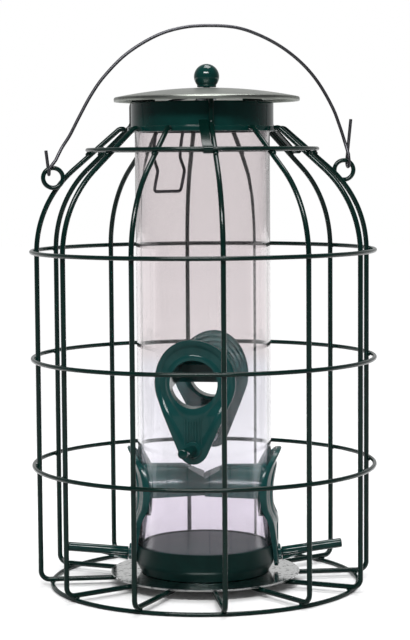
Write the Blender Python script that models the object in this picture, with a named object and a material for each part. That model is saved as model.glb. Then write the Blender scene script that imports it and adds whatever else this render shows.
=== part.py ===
"""A squirrel-proof bird feeder: a clear seed tube with four ports, held inside a welded wire cage.

Metres, +Z up. The origin is on the tube's axis at the underside of the floor ring.
The front is -Y. An azimuth counts in degrees from the front towards +X.
A profile is a list of (radius, height) points; a piece is drawn at the front and turned to its azimuth.
"""

import math
from typing import NamedTuple

import bmesh
import bpy
from mathutils import Matrix, Vector

# Clearances
SEAT_GAP = 0.0003
CUT_OVERRUN = 0.006
MERGE_DISTANCE = 0.000003

# Smoothness
RING_STEPS = 48
TURN_STEPS = 48
SMALL_STEPS = 16
WIRE_RESOLUTION = 2

# Cage wires
RIB_COUNT = 12
RIB_FIRST_DEG = 6.4
HOOK_RIB_EVERY = 4
RIB_WIRE = 0.0013
RING_WIRE = 0.0011
CAGE_RADIUS = 0.0852
CORNER_BEND = 0.0045
DOME_START_Z = 0.1720
DOME_BEND = 0.0560
DOME_SWEEP_DEG = 49.1
SPOKE_END_RADIUS = 0.040
RIB_END_BEND = 0.0030
RIB_END_TURN_DEG = 68.0
HOOK_RISE_BEND = 0.0040
HOOK_TOP_BEND = 0.0036
HOOK_REACH = 0.0128
FLOOR_RING_INSET = 0.0060
LOWER_RING_Z = 0.0628
MIDDLE_RING_Z = 0.1179
SHOULDER_RING_Z = 0.1727
TOP_RING_SLOPE_SHARE = 0.279

# Retaining tabs on the dome
TAB_WIDTH = 0.0046
TAB_THICKNESS = 0.0009
TAB_CURL_DEG = 200.0

# Floor disc
DISC_RADIUS = 0.0490
DISC_THICKNESS = 0.0010

# Seed tube
TUBE_RADIUS = 0.0345
TUBE_WALL = 0.0018

# Neck collar
COLLAR_WALL = 0.0016
COLLAR_HEIGHT = 0.0150
FLANGE_STEP = 0.0018
FLANGE_HEIGHT = 0.0028
COLLAR_LIP = 0.0020
COLLAR_EDGE = 0.0005

# Base dish
DISH_HEIGHT = 0.0143
DISH_WALL = 0.0010
DISH_SKIN = 0.0015
DISH_GROOVE_DEPTH = 0.0086
DISH_FLOOR_DROP = 0.0004
DISH_FOOT_RADIUS = 0.0330
DISH_FOOT_RISE = 0.0050
DISH_BOSS_RADIUS = 0.0052

# Ports: name, turn from the cage's first gap, height of the mouth, upward tilt of the perch
PORT_PLACES = (
    ("upper_front", 0.0, 0.1075, 5.0),
    ("upper_rear", 180.0, 0.1058, 5.0),
    ("lower_right", 98.6, 0.0484, 8.0),
    ("lower_left", 278.6, 0.0491, 4.8),
)
MOUTH_RADIUS = 0.0121
HEAD_RADIUS = 0.0206
HOOD_RADIUS = 0.0225
TIP_RADIUS = 0.0075
TIP_DROP = 0.0326
PORT_WALL = 0.0016
ROOF_WALL = 0.0017
ROOF_SKIRT = 0.0031
ROOF_FALL_DEPTH = 0.0063
ROOF_FALL_LENGTH = 0.0125
SPIGOT_DEPTH = 0.0050
HOOD_FLARE = 0.0030
HOOD_START = 0.0075
BEAD_HEIGHT = 0.0007
BOSS_RADIUS = 0.0042
BOSS_HEIGHT = 0.0012
PORT_STEPS = 32
TIP_CROWDING = 1.35
ROOF_STEPS = 16
BEAD_ROW_SHARES = ((0.0, 1.0), (0.16, 1.0), (0.30, 0.0), (0.62, 0.0), (0.76, 1.0), (1.0, 0.85))

# Perches
PERCH_RADIUS = 0.0024
PERCH_LENGTH = 0.0318
PERCH_EDGE = 0.0006
STUD_RADIUS = 0.0015
STUD_PLAY = 0.0003
NUT_RADIUS = 0.0030
NUT_HEIGHT = 0.0024
NUT_SIDES = 6
STUD_OVERHANG = 0.0010
KEEL_LENGTH = 0.0205
KEEL_DEPTH = 0.0046
KEEL_THICKNESS = 0.0014
PERCH_STEPS = 12

# Lid and knob
LID_OFFSET = 0.0024
LID_RADIUS = 0.0474
LID_RISE = 0.0048
LID_THICKNESS = 0.0010
LID_LIP = 0.0011
LID_ROWS = 7
KNOB_RADIUS = 0.00645
KNOB_NECK_RADIUS = 0.0049
KNOB_LIFT = 0.0054
KNOB_STEPS = 24
KNOB_ROWS = 10
SCREW_RADIUS = 0.0016
SCREW_PLAY = 0.0003
SCREW_HEAD_RADIUS = 0.0036
SCREW_HEAD_HEIGHT = 0.0020
SCREW_GRIP = 0.0050
SCREW_EDGE = 0.0008
WASHER_RADIUS = 0.0048
WASHER_THICKNESS = 0.0008

# Wire catch under the lid
CATCH_AZIMUTH = 225.0
CATCH_WIRE = 0.00085
CATCH_HALF_WIDTH = 0.0098
CATCH_BOTTOM_Z = 0.2026
CATCH_TOP_REACH = 0.0190
CATCH_BEND = 0.0022
CATCH_LEVEL_RUN = 0.0075
CATCH_EYE_END_DEG = 114.0
CATCH_EYE_TURN_DEG = 270.0
CATCH_EYE_STEPS = 9
CATCH_SHARES = ((0.0, 0.115), (0.82, 0.415), (1.0, 0.594), (1.0, 0.66), (0.70, 0.79), (0.98, 1.0))

# Bail and its eyes: right and left
EYE_DOME_DEGS = (42.6, 39.0)
EYE_STANDOFF = 0.0049
EYE_RADIUS = 0.0050
EYE_WIRE = 0.00115
EYE_STEPS = 20
BAIL_WIRE = 0.00085
BAIL_RISE = 0.0705
HOOK_EYE_DEG = 25.0
HOOK_PLAY = 0.0009
HOOK_BLEND = 0.0120
HOOK_STEPS = 6
TAIL_LENGTHS = (0.0215, 0.0092)
TAIL_LEANS = (0.0026, 0.0009)
ARCH_SHARES = (
    (-0.955, 0.060),
    (-0.910, 0.147),
    (-0.853, 0.240),
    (-0.793, 0.360),
    (-0.709, 0.518),
    (-0.616, 0.654),
    (-0.465, 0.810),
    (-0.270, 0.933),
    (-0.091, 0.989),
    (0.087, 1.000),
    (0.266, 0.983),
    (0.424, 0.923),
    (0.578, 0.828),
    (0.712, 0.705),
    (0.815, 0.565),
    (0.902, 0.393),
    (0.946, 0.264),
    (0.978, 0.150),
    (0.998, 0.050),
)
ARCH_STEPS = 2

# Colours and finishes: base colour, roughness, metallic
GREEN_WIRE = ((0.012, 0.052, 0.044, 1.0), 0.35, 0.0)
GREEN_PLASTIC = ((0.010, 0.060, 0.050, 1.0), 0.25, 0.0)
BARE_STEEL = ((0.62, 0.63, 0.62, 1.0), 0.30, 1.0)
BAIL_STEEL = ((0.20, 0.20, 0.20, 1.0), 0.35, 1.0)
CLEAR_PLASTIC = ((0.86, 0.84, 0.86, 1.0), 0.08, 0.0)

# Places that follow from the sizes above
FLOOR_RING_Z = RING_WIRE
SPOKE_Z = RING_WIRE + RING_WIRE + SEAT_GAP + RIB_WIRE
DISC_BOTTOM_Z = SPOKE_Z + RIB_WIRE + SEAT_GAP
DISC_TOP_Z = DISC_BOTTOM_Z + DISC_THICKNESS
DISH_BOTTOM_Z = DISC_TOP_Z + SEAT_GAP
DISH_TOP_Z = DISH_BOTTOM_Z + DISH_HEIGHT
DISH_FLOOR_Z = DISH_TOP_Z - DISH_FLOOR_DROP
DISH_GROOVE_Z = DISH_TOP_Z - DISH_GROOVE_DEPTH
DISH_INNER_RADIUS = TUBE_RADIUS + SEAT_GAP
DISH_RADIUS = DISH_INNER_RADIUS + DISH_WALL
TUBE_BOTTOM_Z = DISH_GROOVE_Z + SEAT_GAP
TUBE_INNER_RADIUS = TUBE_RADIUS - TUBE_WALL
GROOVE_INNER_RADIUS = TUBE_INNER_RADIUS - SEAT_GAP
HOLLOW_RADIUS = GROOVE_INNER_RADIUS - DISH_SKIN
COLLAR_INNER_RADIUS = TUBE_RADIUS + SEAT_GAP
COLLAR_RADIUS = COLLAR_INNER_RADIUS + COLLAR_WALL
FLANGE_RADIUS = COLLAR_RADIUS + FLANGE_STEP
NECK_WIRE_RADIUS = FLANGE_RADIUS + SEAT_GAP + RIB_WIRE
WELD_STEP = RIB_WIRE + RING_WIRE + SEAT_GAP
WALL_RING_RADIUS = CAGE_RADIUS + WELD_STEP
FLOOR_RING_RADIUS = CAGE_RADIUS - FLOOR_RING_INSET
RIB_PITCH_DEG = 360.0 / RIB_COUNT
GAP_AZIMUTH = RIB_FIRST_DEG - RIB_PITCH_DEG / 2
SPIGOT_RADIUS = MOUTH_RADIUS + ROOF_WALL
PORT_BACK_RADIUS = TUBE_RADIUS + SEAT_GAP
TAIL_BACK_RADIUS = DISH_RADIUS + SEAT_GAP


class Port(NamedTuple):
    """Where one port and its perch sit on the tube."""

    name: str
    azimuth: float
    z: float
    perch_tilt: float


PORTS = [Port(name, GAP_AZIMUTH + turn, z, tilt) for name, turn, z, tilt in PORT_PLACES]
LOW_PORTS = [port for port in PORTS if port.z - TIP_DROP < DISH_TOP_Z]


def polar(radius, degrees, z=0.0):
    """The point at an azimuth counted from the front towards +X."""
    angle = math.radians(degrees)
    return Vector((radius * math.sin(angle), -radius * math.cos(angle), z))


def arc(centre, radius, first_deg, last_deg, steps):
    """Points of an arc in a (radius, height) plane, ends included."""
    turns = [math.radians(first_deg + (last_deg - first_deg) * i / steps) for i in range(steps + 1)]
    return [(centre[0] + radius * math.cos(a), centre[1] + radius * math.sin(a)) for a in turns]


def smooth_share(value):
    """An ease from 0 to 1 with level ends."""
    value = min(max(value, 0.0), 1.0)
    return value * value * (3 - 2 * value)


def rounded(points, bend, steps=3):
    """The same open path with each inner corner turned into an arc of about this bend radius."""
    path = [Vector(points[0])]
    for before, corner, after in zip(points, points[1:], points[2:]):
        before, corner, after = Vector(before), Vector(corner), Vector(after)
        back, ahead = before - corner, after - corner
        half = back.angle(ahead) / 2
        reach = min(bend / math.tan(half), back.length / 2, ahead.length / 2)
        start, end = corner + back.normalized() * reach, corner + ahead.normalized() * reach
        for i in range(steps + 1):
            t = i / steps
            path.append(start * (1 - t) ** 2 + corner * (2 * t * (1 - t)) + end * t * t)
    path.append(Vector(points[-1]))
    return path


# Materials


def material(name, look):
    """A Principled material from a colour, a roughness and a metallic value."""
    made = bpy.data.materials.new(name)
    made.use_nodes = True
    shader = made.node_tree.nodes["Principled BSDF"]
    shader.inputs["Base Color"].default_value = look[0]
    shader.inputs["Roughness"].default_value = look[1]
    shader.inputs["Metallic"].default_value = look[2]
    return made


# Shapes


def mesh_object(name, mesh, look):
    """Puts a mesh in the scene under this name, with a material of its own."""
    made = bpy.data.objects.new(name, mesh)
    mesh.materials.append(material(name + "_finish", look))
    bpy.context.scene.collection.objects.link(made)
    return made


def finish_mesh(name, shape, look, smooth=True):
    """Turns a bmesh into an object with its faces pointing out."""
    bmesh.ops.recalc_face_normals(shape, faces=shape.faces)
    mesh = bpy.data.meshes.new(name)
    shape.to_mesh(mesh)
    shape.free()
    if smooth:
        mesh.shade_smooth()
        mesh.set_sharp_from_angle(angle=math.radians(35))
    return mesh_object(name, mesh, look)


def wire(name, points, radius, look, closed=False, resolution=WIRE_RESOLUTION):
    """A round wire along a path."""
    curve = bpy.data.curves.new(name, "CURVE")
    curve.dimensions = "3D"
    curve.bevel_depth = radius
    curve.bevel_resolution = resolution
    curve.use_fill_caps = True
    spline = curve.splines.new("POLY")
    spline.points.add(len(points) - 1)
    for point, place in zip(spline.points, points):
        point.co = (*place, 1.0)
    spline.use_cyclic_u = closed
    spline.use_smooth = True
    curve.materials.append(material(name + "_finish", look))
    made = bpy.data.objects.new(name, curve)
    bpy.context.scene.collection.objects.link(made)
    return made


def ring(name, radius, z, wire_radius, look, steps=RING_STEPS):
    """A closed hoop of wire, level, on the axis."""
    points = [polar(radius, 360.0 * i / steps, z) for i in range(steps)]
    return wire(name, points, wire_radius, look, closed=True)


def turned(name, profile, look, steps=TURN_STEPS):
    """A solid turned about Z from a closed profile of (radius, height) points."""
    shape = bmesh.new()
    corners = [shape.verts.new((radius, 0.0, z)) for radius, z in profile]
    edges = [shape.edges.new(pair) for pair in zip(corners, corners[1:] + corners[:1])]
    bmesh.ops.spin(
        shape,
        geom=corners + edges,
        cent=(0, 0, 0),
        axis=(0, 0, 1),
        angle=math.tau,
        steps=steps,
        use_merge=True,
    )
    bmesh.ops.remove_doubles(shape, verts=shape.verts, dist=MERGE_DISTANCE)
    loose = [edge for edge in shape.edges if not edge.link_faces]
    bmesh.ops.delete(shape, geom=loose, context="EDGES")
    return finish_mesh(name, shape, look)


def rod(name, radius, start, end, look, steps=SMALL_STEPS):
    """A plain round bar between two points."""
    shape = bmesh.new()
    run = end - start
    turn = run.to_track_quat("Z", "Y").to_matrix().to_4x4()
    place = Matrix.Translation((start + end) / 2) @ turn
    bmesh.ops.create_cone(
        shape,
        cap_ends=True,
        segments=steps,
        radius1=radius,
        radius2=radius,
        depth=run.length,
        matrix=place,
    )
    return finish_mesh(name, shape, look)


def extruded(name, outline, half_width, look):
    """A closed (radius, height) outline given a width across X, drawn at the front."""
    shape = bmesh.new()
    side = [shape.verts.new((-half_width, -radius, z)) for radius, z in outline]
    face = shape.faces.new(side)
    moved = bmesh.ops.extrude_face_region(shape, geom=[face])["geom"]
    corners = [item for item in moved if isinstance(item, bmesh.types.BMVert)]
    bmesh.ops.translate(shape, verts=corners, vec=(half_width + half_width, 0, 0))
    return finish_mesh(name, shape, look, smooth=False)


def hide(helper):
    """Keeps a cutter or a guide out of the model."""
    helper.hide_render = True
    helper.display_type = "WIRE"
    return helper


def combine(target, other, operation):
    """A Boolean of one object with another, which is then hidden."""
    modifier = target.modifiers.new(operation.lower() + "_" + other.name, "BOOLEAN")
    modifier.operation = operation
    modifier.object = hide(other)
    modifier.solver = "EXACT"
    return target


def turn_to(piece, azimuth, z=0.0):
    """Moves a piece drawn at the front round to its azimuth, and up."""
    piece.rotation_euler.z = math.radians(azimuth)
    piece.location.z = z
    return piece


# Cage


def dome_point(sweep_deg, stand_off=0.0):
    """A point beside the ribs' dome bend, this far outside their centre line."""
    angle = math.radians(sweep_deg)
    reach = DOME_BEND + stand_off
    return (
        CAGE_RADIUS - DOME_BEND + reach * math.cos(angle),
        DOME_START_Z + reach * math.sin(angle),
    )


def slope_point(radius, stand_off=0.0):
    """The point at this radius on the straight slope from the dome bend up to the neck."""
    start = dome_point(DOME_SWEEP_DEG, stand_off)
    rise = (start[0] - radius) / math.tan(math.radians(DOME_SWEEP_DEG))
    return (radius, start[1] + rise)


def rib_end_arc():
    """The bend that brings a plain rib's end down to the collar's flange."""
    first, last = DOME_SWEEP_DEG, DOME_SWEEP_DEG + RIB_END_TURN_DEG
    reach = math.cos(math.radians(first)) - math.cos(math.radians(last))
    start = slope_point(NECK_WIRE_RADIUS + RIB_END_BEND * reach)
    centre = (
        start[0] - RIB_END_BEND * math.cos(math.radians(first)),
        start[1] - RIB_END_BEND * math.sin(math.radians(first)),
    )
    return arc(centre, RIB_END_BEND, first, last, 4)


NECK_Z = rib_end_arc()[-1][1]
COLLAR_BOTTOM_Z = NECK_Z - FLANGE_HEIGHT / 2
COLLAR_TOP_Z = COLLAR_BOTTOM_Z + COLLAR_HEIGHT
TUBE_TOP_Z = COLLAR_TOP_Z - COLLAR_EDGE - SEAT_GAP
HOOK_Z = COLLAR_TOP_Z + SEAT_GAP + RIB_WIRE


def rib_body():
    """The centre line that every rib shares: floor spoke, corner, wall and dome bend."""
    corner = (CAGE_RADIUS - CORNER_BEND, SPOKE_Z + CORNER_BEND)
    return (
        [(SPOKE_END_RADIUS, SPOKE_Z)]
        + arc(corner, CORNER_BEND, -90, 0, 4)
        + arc((CAGE_RADIUS - DOME_BEND, DOME_START_Z), DOME_BEND, 0, DOME_SWEEP_DEG, 8)
    )


def hook_path():
    """The run of a hooked rib: up beside the collar, then in over its rim."""
    turn = math.radians(DOME_SWEEP_DEG)
    start = slope_point(NECK_WIRE_RADIUS + HOOK_RISE_BEND * (1 - math.cos(turn)))
    centre = (
        start[0] + HOOK_RISE_BEND * math.cos(turn),
        start[1] + HOOK_RISE_BEND * math.sin(turn),
    )
    rise = arc(centre, HOOK_RISE_BEND, 180 + DOME_SWEEP_DEG, 180, 3)
    top_centre = (NECK_WIRE_RADIUS - HOOK_TOP_BEND, HOOK_Z - HOOK_TOP_BEND)
    top = arc(top_centre, HOOK_TOP_BEND, 0, 90, 4)
    return rise + top + [(NECK_WIRE_RADIUS - HOOK_REACH, HOOK_Z)]


def make_ribs():
    """Twelve wires from the floor to the neck; every fourth hooks over the collar."""
    for i in range(RIB_COUNT):
        end = hook_path() if i % HOOK_RIB_EVERY == 0 else rib_end_arc()
        points = [(0.0, -radius, z) for radius, z in rib_body() + end]
        rib = wire(f"cage_rib_{i + 1:02d}", points, RIB_WIRE, GREEN_WIRE)
        turn_to(rib, RIB_FIRST_DEG + RIB_PITCH_DEG * i)


def make_rings():
    """The hoops that tie the ribs: one under the spokes, three round the wall, one on the dome."""
    ring("floor_ring", FLOOR_RING_RADIUS, FLOOR_RING_Z, RING_WIRE, GREEN_WIRE)
    ring("lower_ring", WALL_RING_RADIUS, LOWER_RING_Z, RING_WIRE, GREEN_WIRE)
    ring("middle_ring", WALL_RING_RADIUS, MIDDLE_RING_Z, RING_WIRE, GREEN_WIRE)
    ring("shoulder_ring", WALL_RING_RADIUS, SHOULDER_RING_Z, RING_WIRE, GREEN_WIRE)
    ring("top_ring", *top_ring_centre(), RING_WIRE, GREEN_WIRE)


def top_ring_centre():
    """(radius, height) of the top ring's wire, seated partway up the ribs' slope."""
    foot = dome_point(DOME_SWEEP_DEG)[0]
    radius = foot + (NECK_WIRE_RADIUS - foot) * TOP_RING_SLOPE_SHARE
    return slope_point(radius, WELD_STEP)


def make_tabs():
    """Three sheet tabs beside the hooked ribs, from the collar's flange down and round the top ring."""
    half = TAB_THICKNESS / 2
    reach = RING_WIRE + SEAT_GAP + half
    centre = top_ring_centre()
    start_deg = 180 + DOME_SWEEP_DEG
    upper = slope_point(FLANGE_RADIUS + SEAT_GAP + TAB_THICKNESS, WELD_STEP - reach)
    line = [upper] + arc(centre, reach, start_deg, start_deg + TAB_CURL_DEG, 10)
    outline = thickened(line, half)
    aside = RIB_WIRE + SEAT_GAP + TAB_WIDTH / 2
    for i in range(0, RIB_COUNT, HOOK_RIB_EVERY):
        tab = extruded(f"dome_tab_{i // HOOK_RIB_EVERY + 1}", outline, TAB_WIDTH / 2, GREEN_WIRE)
        tab.data.transform(Matrix.Translation((-aside, 0, 0)))
        turn_to(tab, RIB_FIRST_DEG + RIB_PITCH_DEG * i)


def thickened(line, half):
    """A closed outline this far to both sides of an open line of (radius, height) points."""
    left, right = [], []
    for i, point in enumerate(line):
        before, after = line[max(i - 1, 0)], line[min(i + 1, len(line) - 1)]
        along = Vector((after[0] - before[0], after[1] - before[1])).normalized()
        left.append((point[0] - along.y * half, point[1] + along.x * half))
        right.append((point[0] + along.y * half, point[1] - along.x * half))
    return left + right[::-1]


# Base


def make_floor_disc():
    """The sheet disc that lies on the spokes."""
    turned("floor_disc", washer_profile(DISC_RADIUS, DISC_BOTTOM_Z, DISC_TOP_Z), BARE_STEEL)


def washer_profile(radius, bottom_z, top_z):
    """A flat round sheet with a hole for the screw that goes through it."""
    hole = SCREW_RADIUS + SCREW_PLAY
    return [(radius, top_z), (radius, bottom_z), (hole, bottom_z), (hole, top_z)]


def make_base_dish():
    """The turned dish under the tube: a groove for the tube's end, a raised floor, and a screw boss."""
    foot_z = DISH_BOTTOM_Z + DISH_FOOT_RISE
    side = rounded(
        [(DISH_RADIUS, DISH_TOP_Z), (DISH_RADIUS, foot_z), (DISH_FOOT_RADIUS, DISH_BOTTOM_Z)],
        DISH_FOOT_RISE,
    )
    bore = SCREW_RADIUS + SCREW_PLAY
    bore_top = DISC_TOP_Z + SCREW_GRIP + SCREW_PLAY
    dish = turned(
        "base_dish",
        [tuple(point) for point in side]
        + [
            (DISH_FOOT_RADIUS - DISH_SKIN, DISH_BOTTOM_Z),
            (DISH_RADIUS - DISH_SKIN, foot_z),
            (DISH_RADIUS - DISH_SKIN, DISH_GROOVE_Z - DISH_SKIN),
            (HOLLOW_RADIUS, DISH_GROOVE_Z - DISH_SKIN),
            (HOLLOW_RADIUS, DISH_FLOOR_Z - DISH_SKIN),
            (DISH_BOSS_RADIUS, DISH_FLOOR_Z - DISH_SKIN),
            (DISH_BOSS_RADIUS, DISH_BOTTOM_Z),
            (bore, DISH_BOTTOM_Z),
            (bore, bore_top),
            (0.0, bore_top),
            (0.0, DISH_FLOOR_Z),
            (GROOVE_INNER_RADIUS, DISH_FLOOR_Z),
            (GROOVE_INNER_RADIUS, DISH_GROOVE_Z),
            (DISH_INNER_RADIUS, DISH_GROOVE_Z),
            (DISH_INNER_RADIUS, DISH_TOP_Z),
        ],
        GREEN_PLASTIC,
    )
    for port in LOW_PORTS:
        combine(dish, stud_cutter(port.name + "_dish_bore", port), "DIFFERENCE")


def make_base_screw():
    """The screw from below that holds the dish to the disc."""
    seat = DISC_BOTTOM_Z - SEAT_GAP
    length = DISC_TOP_Z + SCREW_GRIP - seat
    turned("base_screw", screw_profile(seat, length), BARE_STEEL, SMALL_STEPS)


def screw_profile(seat_z, length):
    """A pan-head screw about Z: its head below the seat, its shank above."""
    head_z = seat_z - SCREW_HEAD_HEIGHT
    end_z = seat_z + length
    return [
        (0.0, head_z),
        (SCREW_HEAD_RADIUS - SCREW_EDGE, head_z),
        (SCREW_HEAD_RADIUS, head_z + SCREW_EDGE),
        (SCREW_HEAD_RADIUS, seat_z),
        (SCREW_RADIUS, seat_z),
        (SCREW_RADIUS, end_z - SCREW_EDGE),
        (SCREW_RADIUS - SCREW_EDGE, end_z),
        (0.0, end_z),
    ]


# Tube and collar


def make_tube():
    """The clear tube, with a round hole for each port and a small one for each perch's stud."""
    tube = turned(
        "seed_tube",
        [
            (TUBE_RADIUS, TUBE_TOP_Z),
            (TUBE_RADIUS, TUBE_BOTTOM_Z),
            (TUBE_INNER_RADIUS, TUBE_BOTTOM_Z),
            (TUBE_INNER_RADIUS, TUBE_TOP_Z),
        ],
        CLEAR_PLASTIC,
    )
    for port in PORTS:
        start = polar(TUBE_INNER_RADIUS / 2, port.azimuth, port.z)
        end = polar(TUBE_RADIUS + CUT_OVERRUN, port.azimuth, port.z)
        radius = SPIGOT_RADIUS + SEAT_GAP
        cutter = rod(port.name + "_tube_hole", radius, start, end, CLEAR_PLASTIC, PORT_STEPS)
        combine(tube, cutter, "DIFFERENCE")
        combine(tube, stud_cutter(port.name + "_tube_bore", port), "DIFFERENCE")


def make_collar():
    """The neck band: a flange for the ribs' ends, a plain band, and a lip in over the tube."""
    flange_top = COLLAR_BOTTOM_Z + FLANGE_HEIGHT
    lip_radius = TUBE_RADIUS - COLLAR_LIP
    turned(
        "neck_collar",
        [
            (lip_radius, COLLAR_TOP_Z),
            (COLLAR_RADIUS - COLLAR_EDGE, COLLAR_TOP_Z),
            (COLLAR_RADIUS, COLLAR_TOP_Z - COLLAR_EDGE),
            (COLLAR_RADIUS, flange_top + COLLAR_EDGE),
            (FLANGE_RADIUS - COLLAR_EDGE, flange_top),
            (FLANGE_RADIUS, flange_top - COLLAR_EDGE),
            (FLANGE_RADIUS, COLLAR_BOTTOM_Z + COLLAR_EDGE),
            (FLANGE_RADIUS - COLLAR_EDGE, COLLAR_BOTTOM_Z),
            (COLLAR_INNER_RADIUS, COLLAR_BOTTOM_Z),
            (COLLAR_INNER_RADIUS, COLLAR_TOP_Z - COLLAR_EDGE),
            (lip_radius, COLLAR_TOP_Z - COLLAR_EDGE),
        ],
        GREEN_PLASTIC,
    )


# Ports and perches


def head_radius_at(down_deg):
    """The teardrop's reach from the mouth's centre, for an angle counted from straight down."""
    down = math.radians(abs(down_deg))
    lean = math.pi / 2 - math.asin((HEAD_RADIUS - TIP_RADIUS) / TIP_DROP)
    tip_side, tip_low = TIP_RADIUS * math.sin(lean), TIP_DROP + TIP_RADIUS * math.cos(lean)
    if down >= math.pi / 2:
        return 1 / math.hypot(math.sin(down) / HEAD_RADIUS, math.cos(down) / HOOD_RADIUS)
    if down >= lean:
        return HEAD_RADIUS
    if down >= math.atan2(tip_side, tip_low):
        return HEAD_RADIUS / math.cos(lean - down)
    across = TIP_DROP * math.sin(down)
    return TIP_DROP * math.cos(down) + math.sqrt(TIP_RADIUS**2 - across**2)


def port_back_radius(height):
    """How far from the tube's axis the plate's back lies, at a height from the mouth's centre."""
    hood = HOOD_FLARE * (max(height - HOOD_START, 0.0) / (HOOD_RADIUS - HOOD_START)) ** 2
    tail = smooth_share((-height - HOOD_START) / (TIP_DROP / 2 - HOOD_START))
    return PORT_BACK_RADIUS + hood + tail * (TAIL_BACK_RADIUS - PORT_BACK_RADIUS)


def plate_angles():
    """Angles round the mouth from straight down, closer together at the narrow tip."""
    angles = []
    for i in range(PORT_STEPS):
        turn = 2 * i / PORT_STEPS - 1
        angles.append(math.copysign(180 * abs(turn) ** TIP_CROWDING, turn))
    return angles


def plate_point(angle_deg, share, lift):
    """A point of the plate: an angle round the mouth, a share of the way out, a lift off its back."""
    reach = MOUTH_RADIUS + (head_radius_at(angle_deg) - MOUTH_RADIUS) * share
    across = reach * math.sin(math.radians(angle_deg))
    height = -reach * math.cos(math.radians(angle_deg))
    radius = port_back_radius(height) + lift
    return (across, -math.sqrt(radius**2 - across**2), height)


def make_port_plate(name):
    """The teardrop plate, wrapped round the tube, with a bead at the mouth and one at the edge."""
    shape = bmesh.new()
    rings = []
    back_shares = (BEAD_ROW_SHARES[0][0], BEAD_ROW_SHARES[3][0], BEAD_ROW_SHARES[-1][0])
    for share, bead in BEAD_ROW_SHARES:
        lift = PORT_WALL + bead * BEAD_HEIGHT
        rings.append([shape.verts.new(plate_point(a, share, lift)) for a in plate_angles()])
    for share in reversed(back_shares):
        rings.append([shape.verts.new(plate_point(a, share, 0.0)) for a in plate_angles()])
    for inner, outer in zip(rings, rings[1:] + rings[:1]):
        for i in range(PORT_STEPS):
            j = (i + 1) % PORT_STEPS
            shape.faces.new((inner[i], outer[i], outer[j], inner[j]))
    return finish_mesh(name, shape, GREEN_PLASTIC)


def plate_middle(across):
    """The y of the plate's middle near the mouth, this far to the side, drawn at the front."""
    return -math.sqrt((PORT_BACK_RADIUS + PORT_WALL / 2) ** 2 - across**2)


def roof_end(height, wall):
    """The y of the roof's inner end at a height, a wall's thickness inside its outer face."""
    fall_z = SPIGOT_RADIUS - ROOF_FALL_DEPTH
    slope = math.atan2(ROOF_FALL_DEPTH, ROOF_FALL_LENGTH)
    return -SEAT_GAP - max(wall, wall / math.sin(slope) + (height - fall_z) / math.tan(slope))


def make_roof_bar(name, radius, skirt, wall, overrun):
    """A D-shaped bar from near the tube's axis to the plate, its top falling away at the inner end."""
    sink = math.degrees(math.asin(skirt / radius))
    outline = arc((0.0, 0.0), radius, -sink, 180 + sink, ROOF_STEPS)
    shape = bmesh.new()
    ends = [shape.verts.new((x, roof_end(z, wall), z)) for x, z in outline]
    fronts = [shape.verts.new((x, plate_middle(x) - overrun, z)) for x, z in outline]
    last = len(outline) - 1
    for i in range(len(outline)):
        j = (i + 1) % len(outline)
        shape.faces.new((ends[i], ends[j], fronts[j], fronts[i]))
    for i in range(last // 2):
        strip = dict.fromkeys((i, i + 1, last - i - 1, last - i))
        shape.faces.new([ends[k] for k in strip])
        shape.faces.new([fronts[k] for k in strip])
    return finish_mesh(name, shape, GREEN_PLASTIC)


def make_roof(name, port):
    """The roof over the mouth: a half-pipe that reaches to the tube's axis, closed at its inner end."""
    outer, inner = SPIGOT_RADIUS - SEAT_GAP, MOUTH_RADIUS + SEAT_GAP
    roof = make_roof_bar(name, outer, ROOF_SKIRT, 0.0, 0.0)
    hollow = make_roof_bar(name + "_hollow", inner, ROOF_SKIRT + CUT_OVERRUN, ROOF_WALL, CUT_OVERRUN)
    for piece in (roof, hollow):
        turn_to(piece, port.azimuth, port.z)
    return combine(roof, hollow, "DIFFERENCE")


def make_spigot(name):
    """The ring behind the plate that plugs into the tube's hole."""
    back = SPIGOT_DEPTH + TUBE_WALL - PORT_BACK_RADIUS
    shape = bmesh.new()
    rings = []
    for radius, at_plate in (
        (SPIGOT_RADIUS, True),
        (SPIGOT_RADIUS, False),
        (MOUTH_RADIUS, False),
        (MOUTH_RADIUS, True),
    ):
        rings.append([])
        for degrees in plate_angles():
            angle = math.radians(degrees)
            x = radius * math.sin(angle)
            y = plate_middle(x) if at_plate else back
            rings[-1].append(shape.verts.new((x, y, -radius * math.cos(angle))))
    for inner, outer in zip(rings, rings[1:] + rings[:1]):
        for i in range(PORT_STEPS):
            j = (i + 1) % PORT_STEPS
            shape.faces.new((inner[i], outer[i], outer[j], inner[j]))
    return finish_mesh(name, shape, GREEN_PLASTIC)


def perch_axis(port):
    """A perch's seat on the plate and its direction, drawn at the front from the mouth's centre."""
    tilt = math.radians(port.perch_tilt)
    seat = Vector((0.0, -(TAIL_BACK_RADIUS + PORT_WALL + BEAD_HEIGHT + BOSS_HEIGHT), -TIP_DROP))
    return seat, Vector((0.0, -math.cos(tilt), math.sin(tilt)))


def stud_cutter(name, port):
    """The bore for a perch's stud, through plate and wall."""
    seat, along = perch_axis(port)
    length = -seat.y - HOLLOW_RADIUS + CUT_OVERRUN
    inner, outer = seat - along * length, seat + along * CUT_OVERRUN
    cutter = rod(name, STUD_RADIUS + STUD_PLAY, inner, outer, GREEN_PLASTIC, PERCH_STEPS)
    return turn_to(cutter, port.azimuth, port.z)


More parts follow.
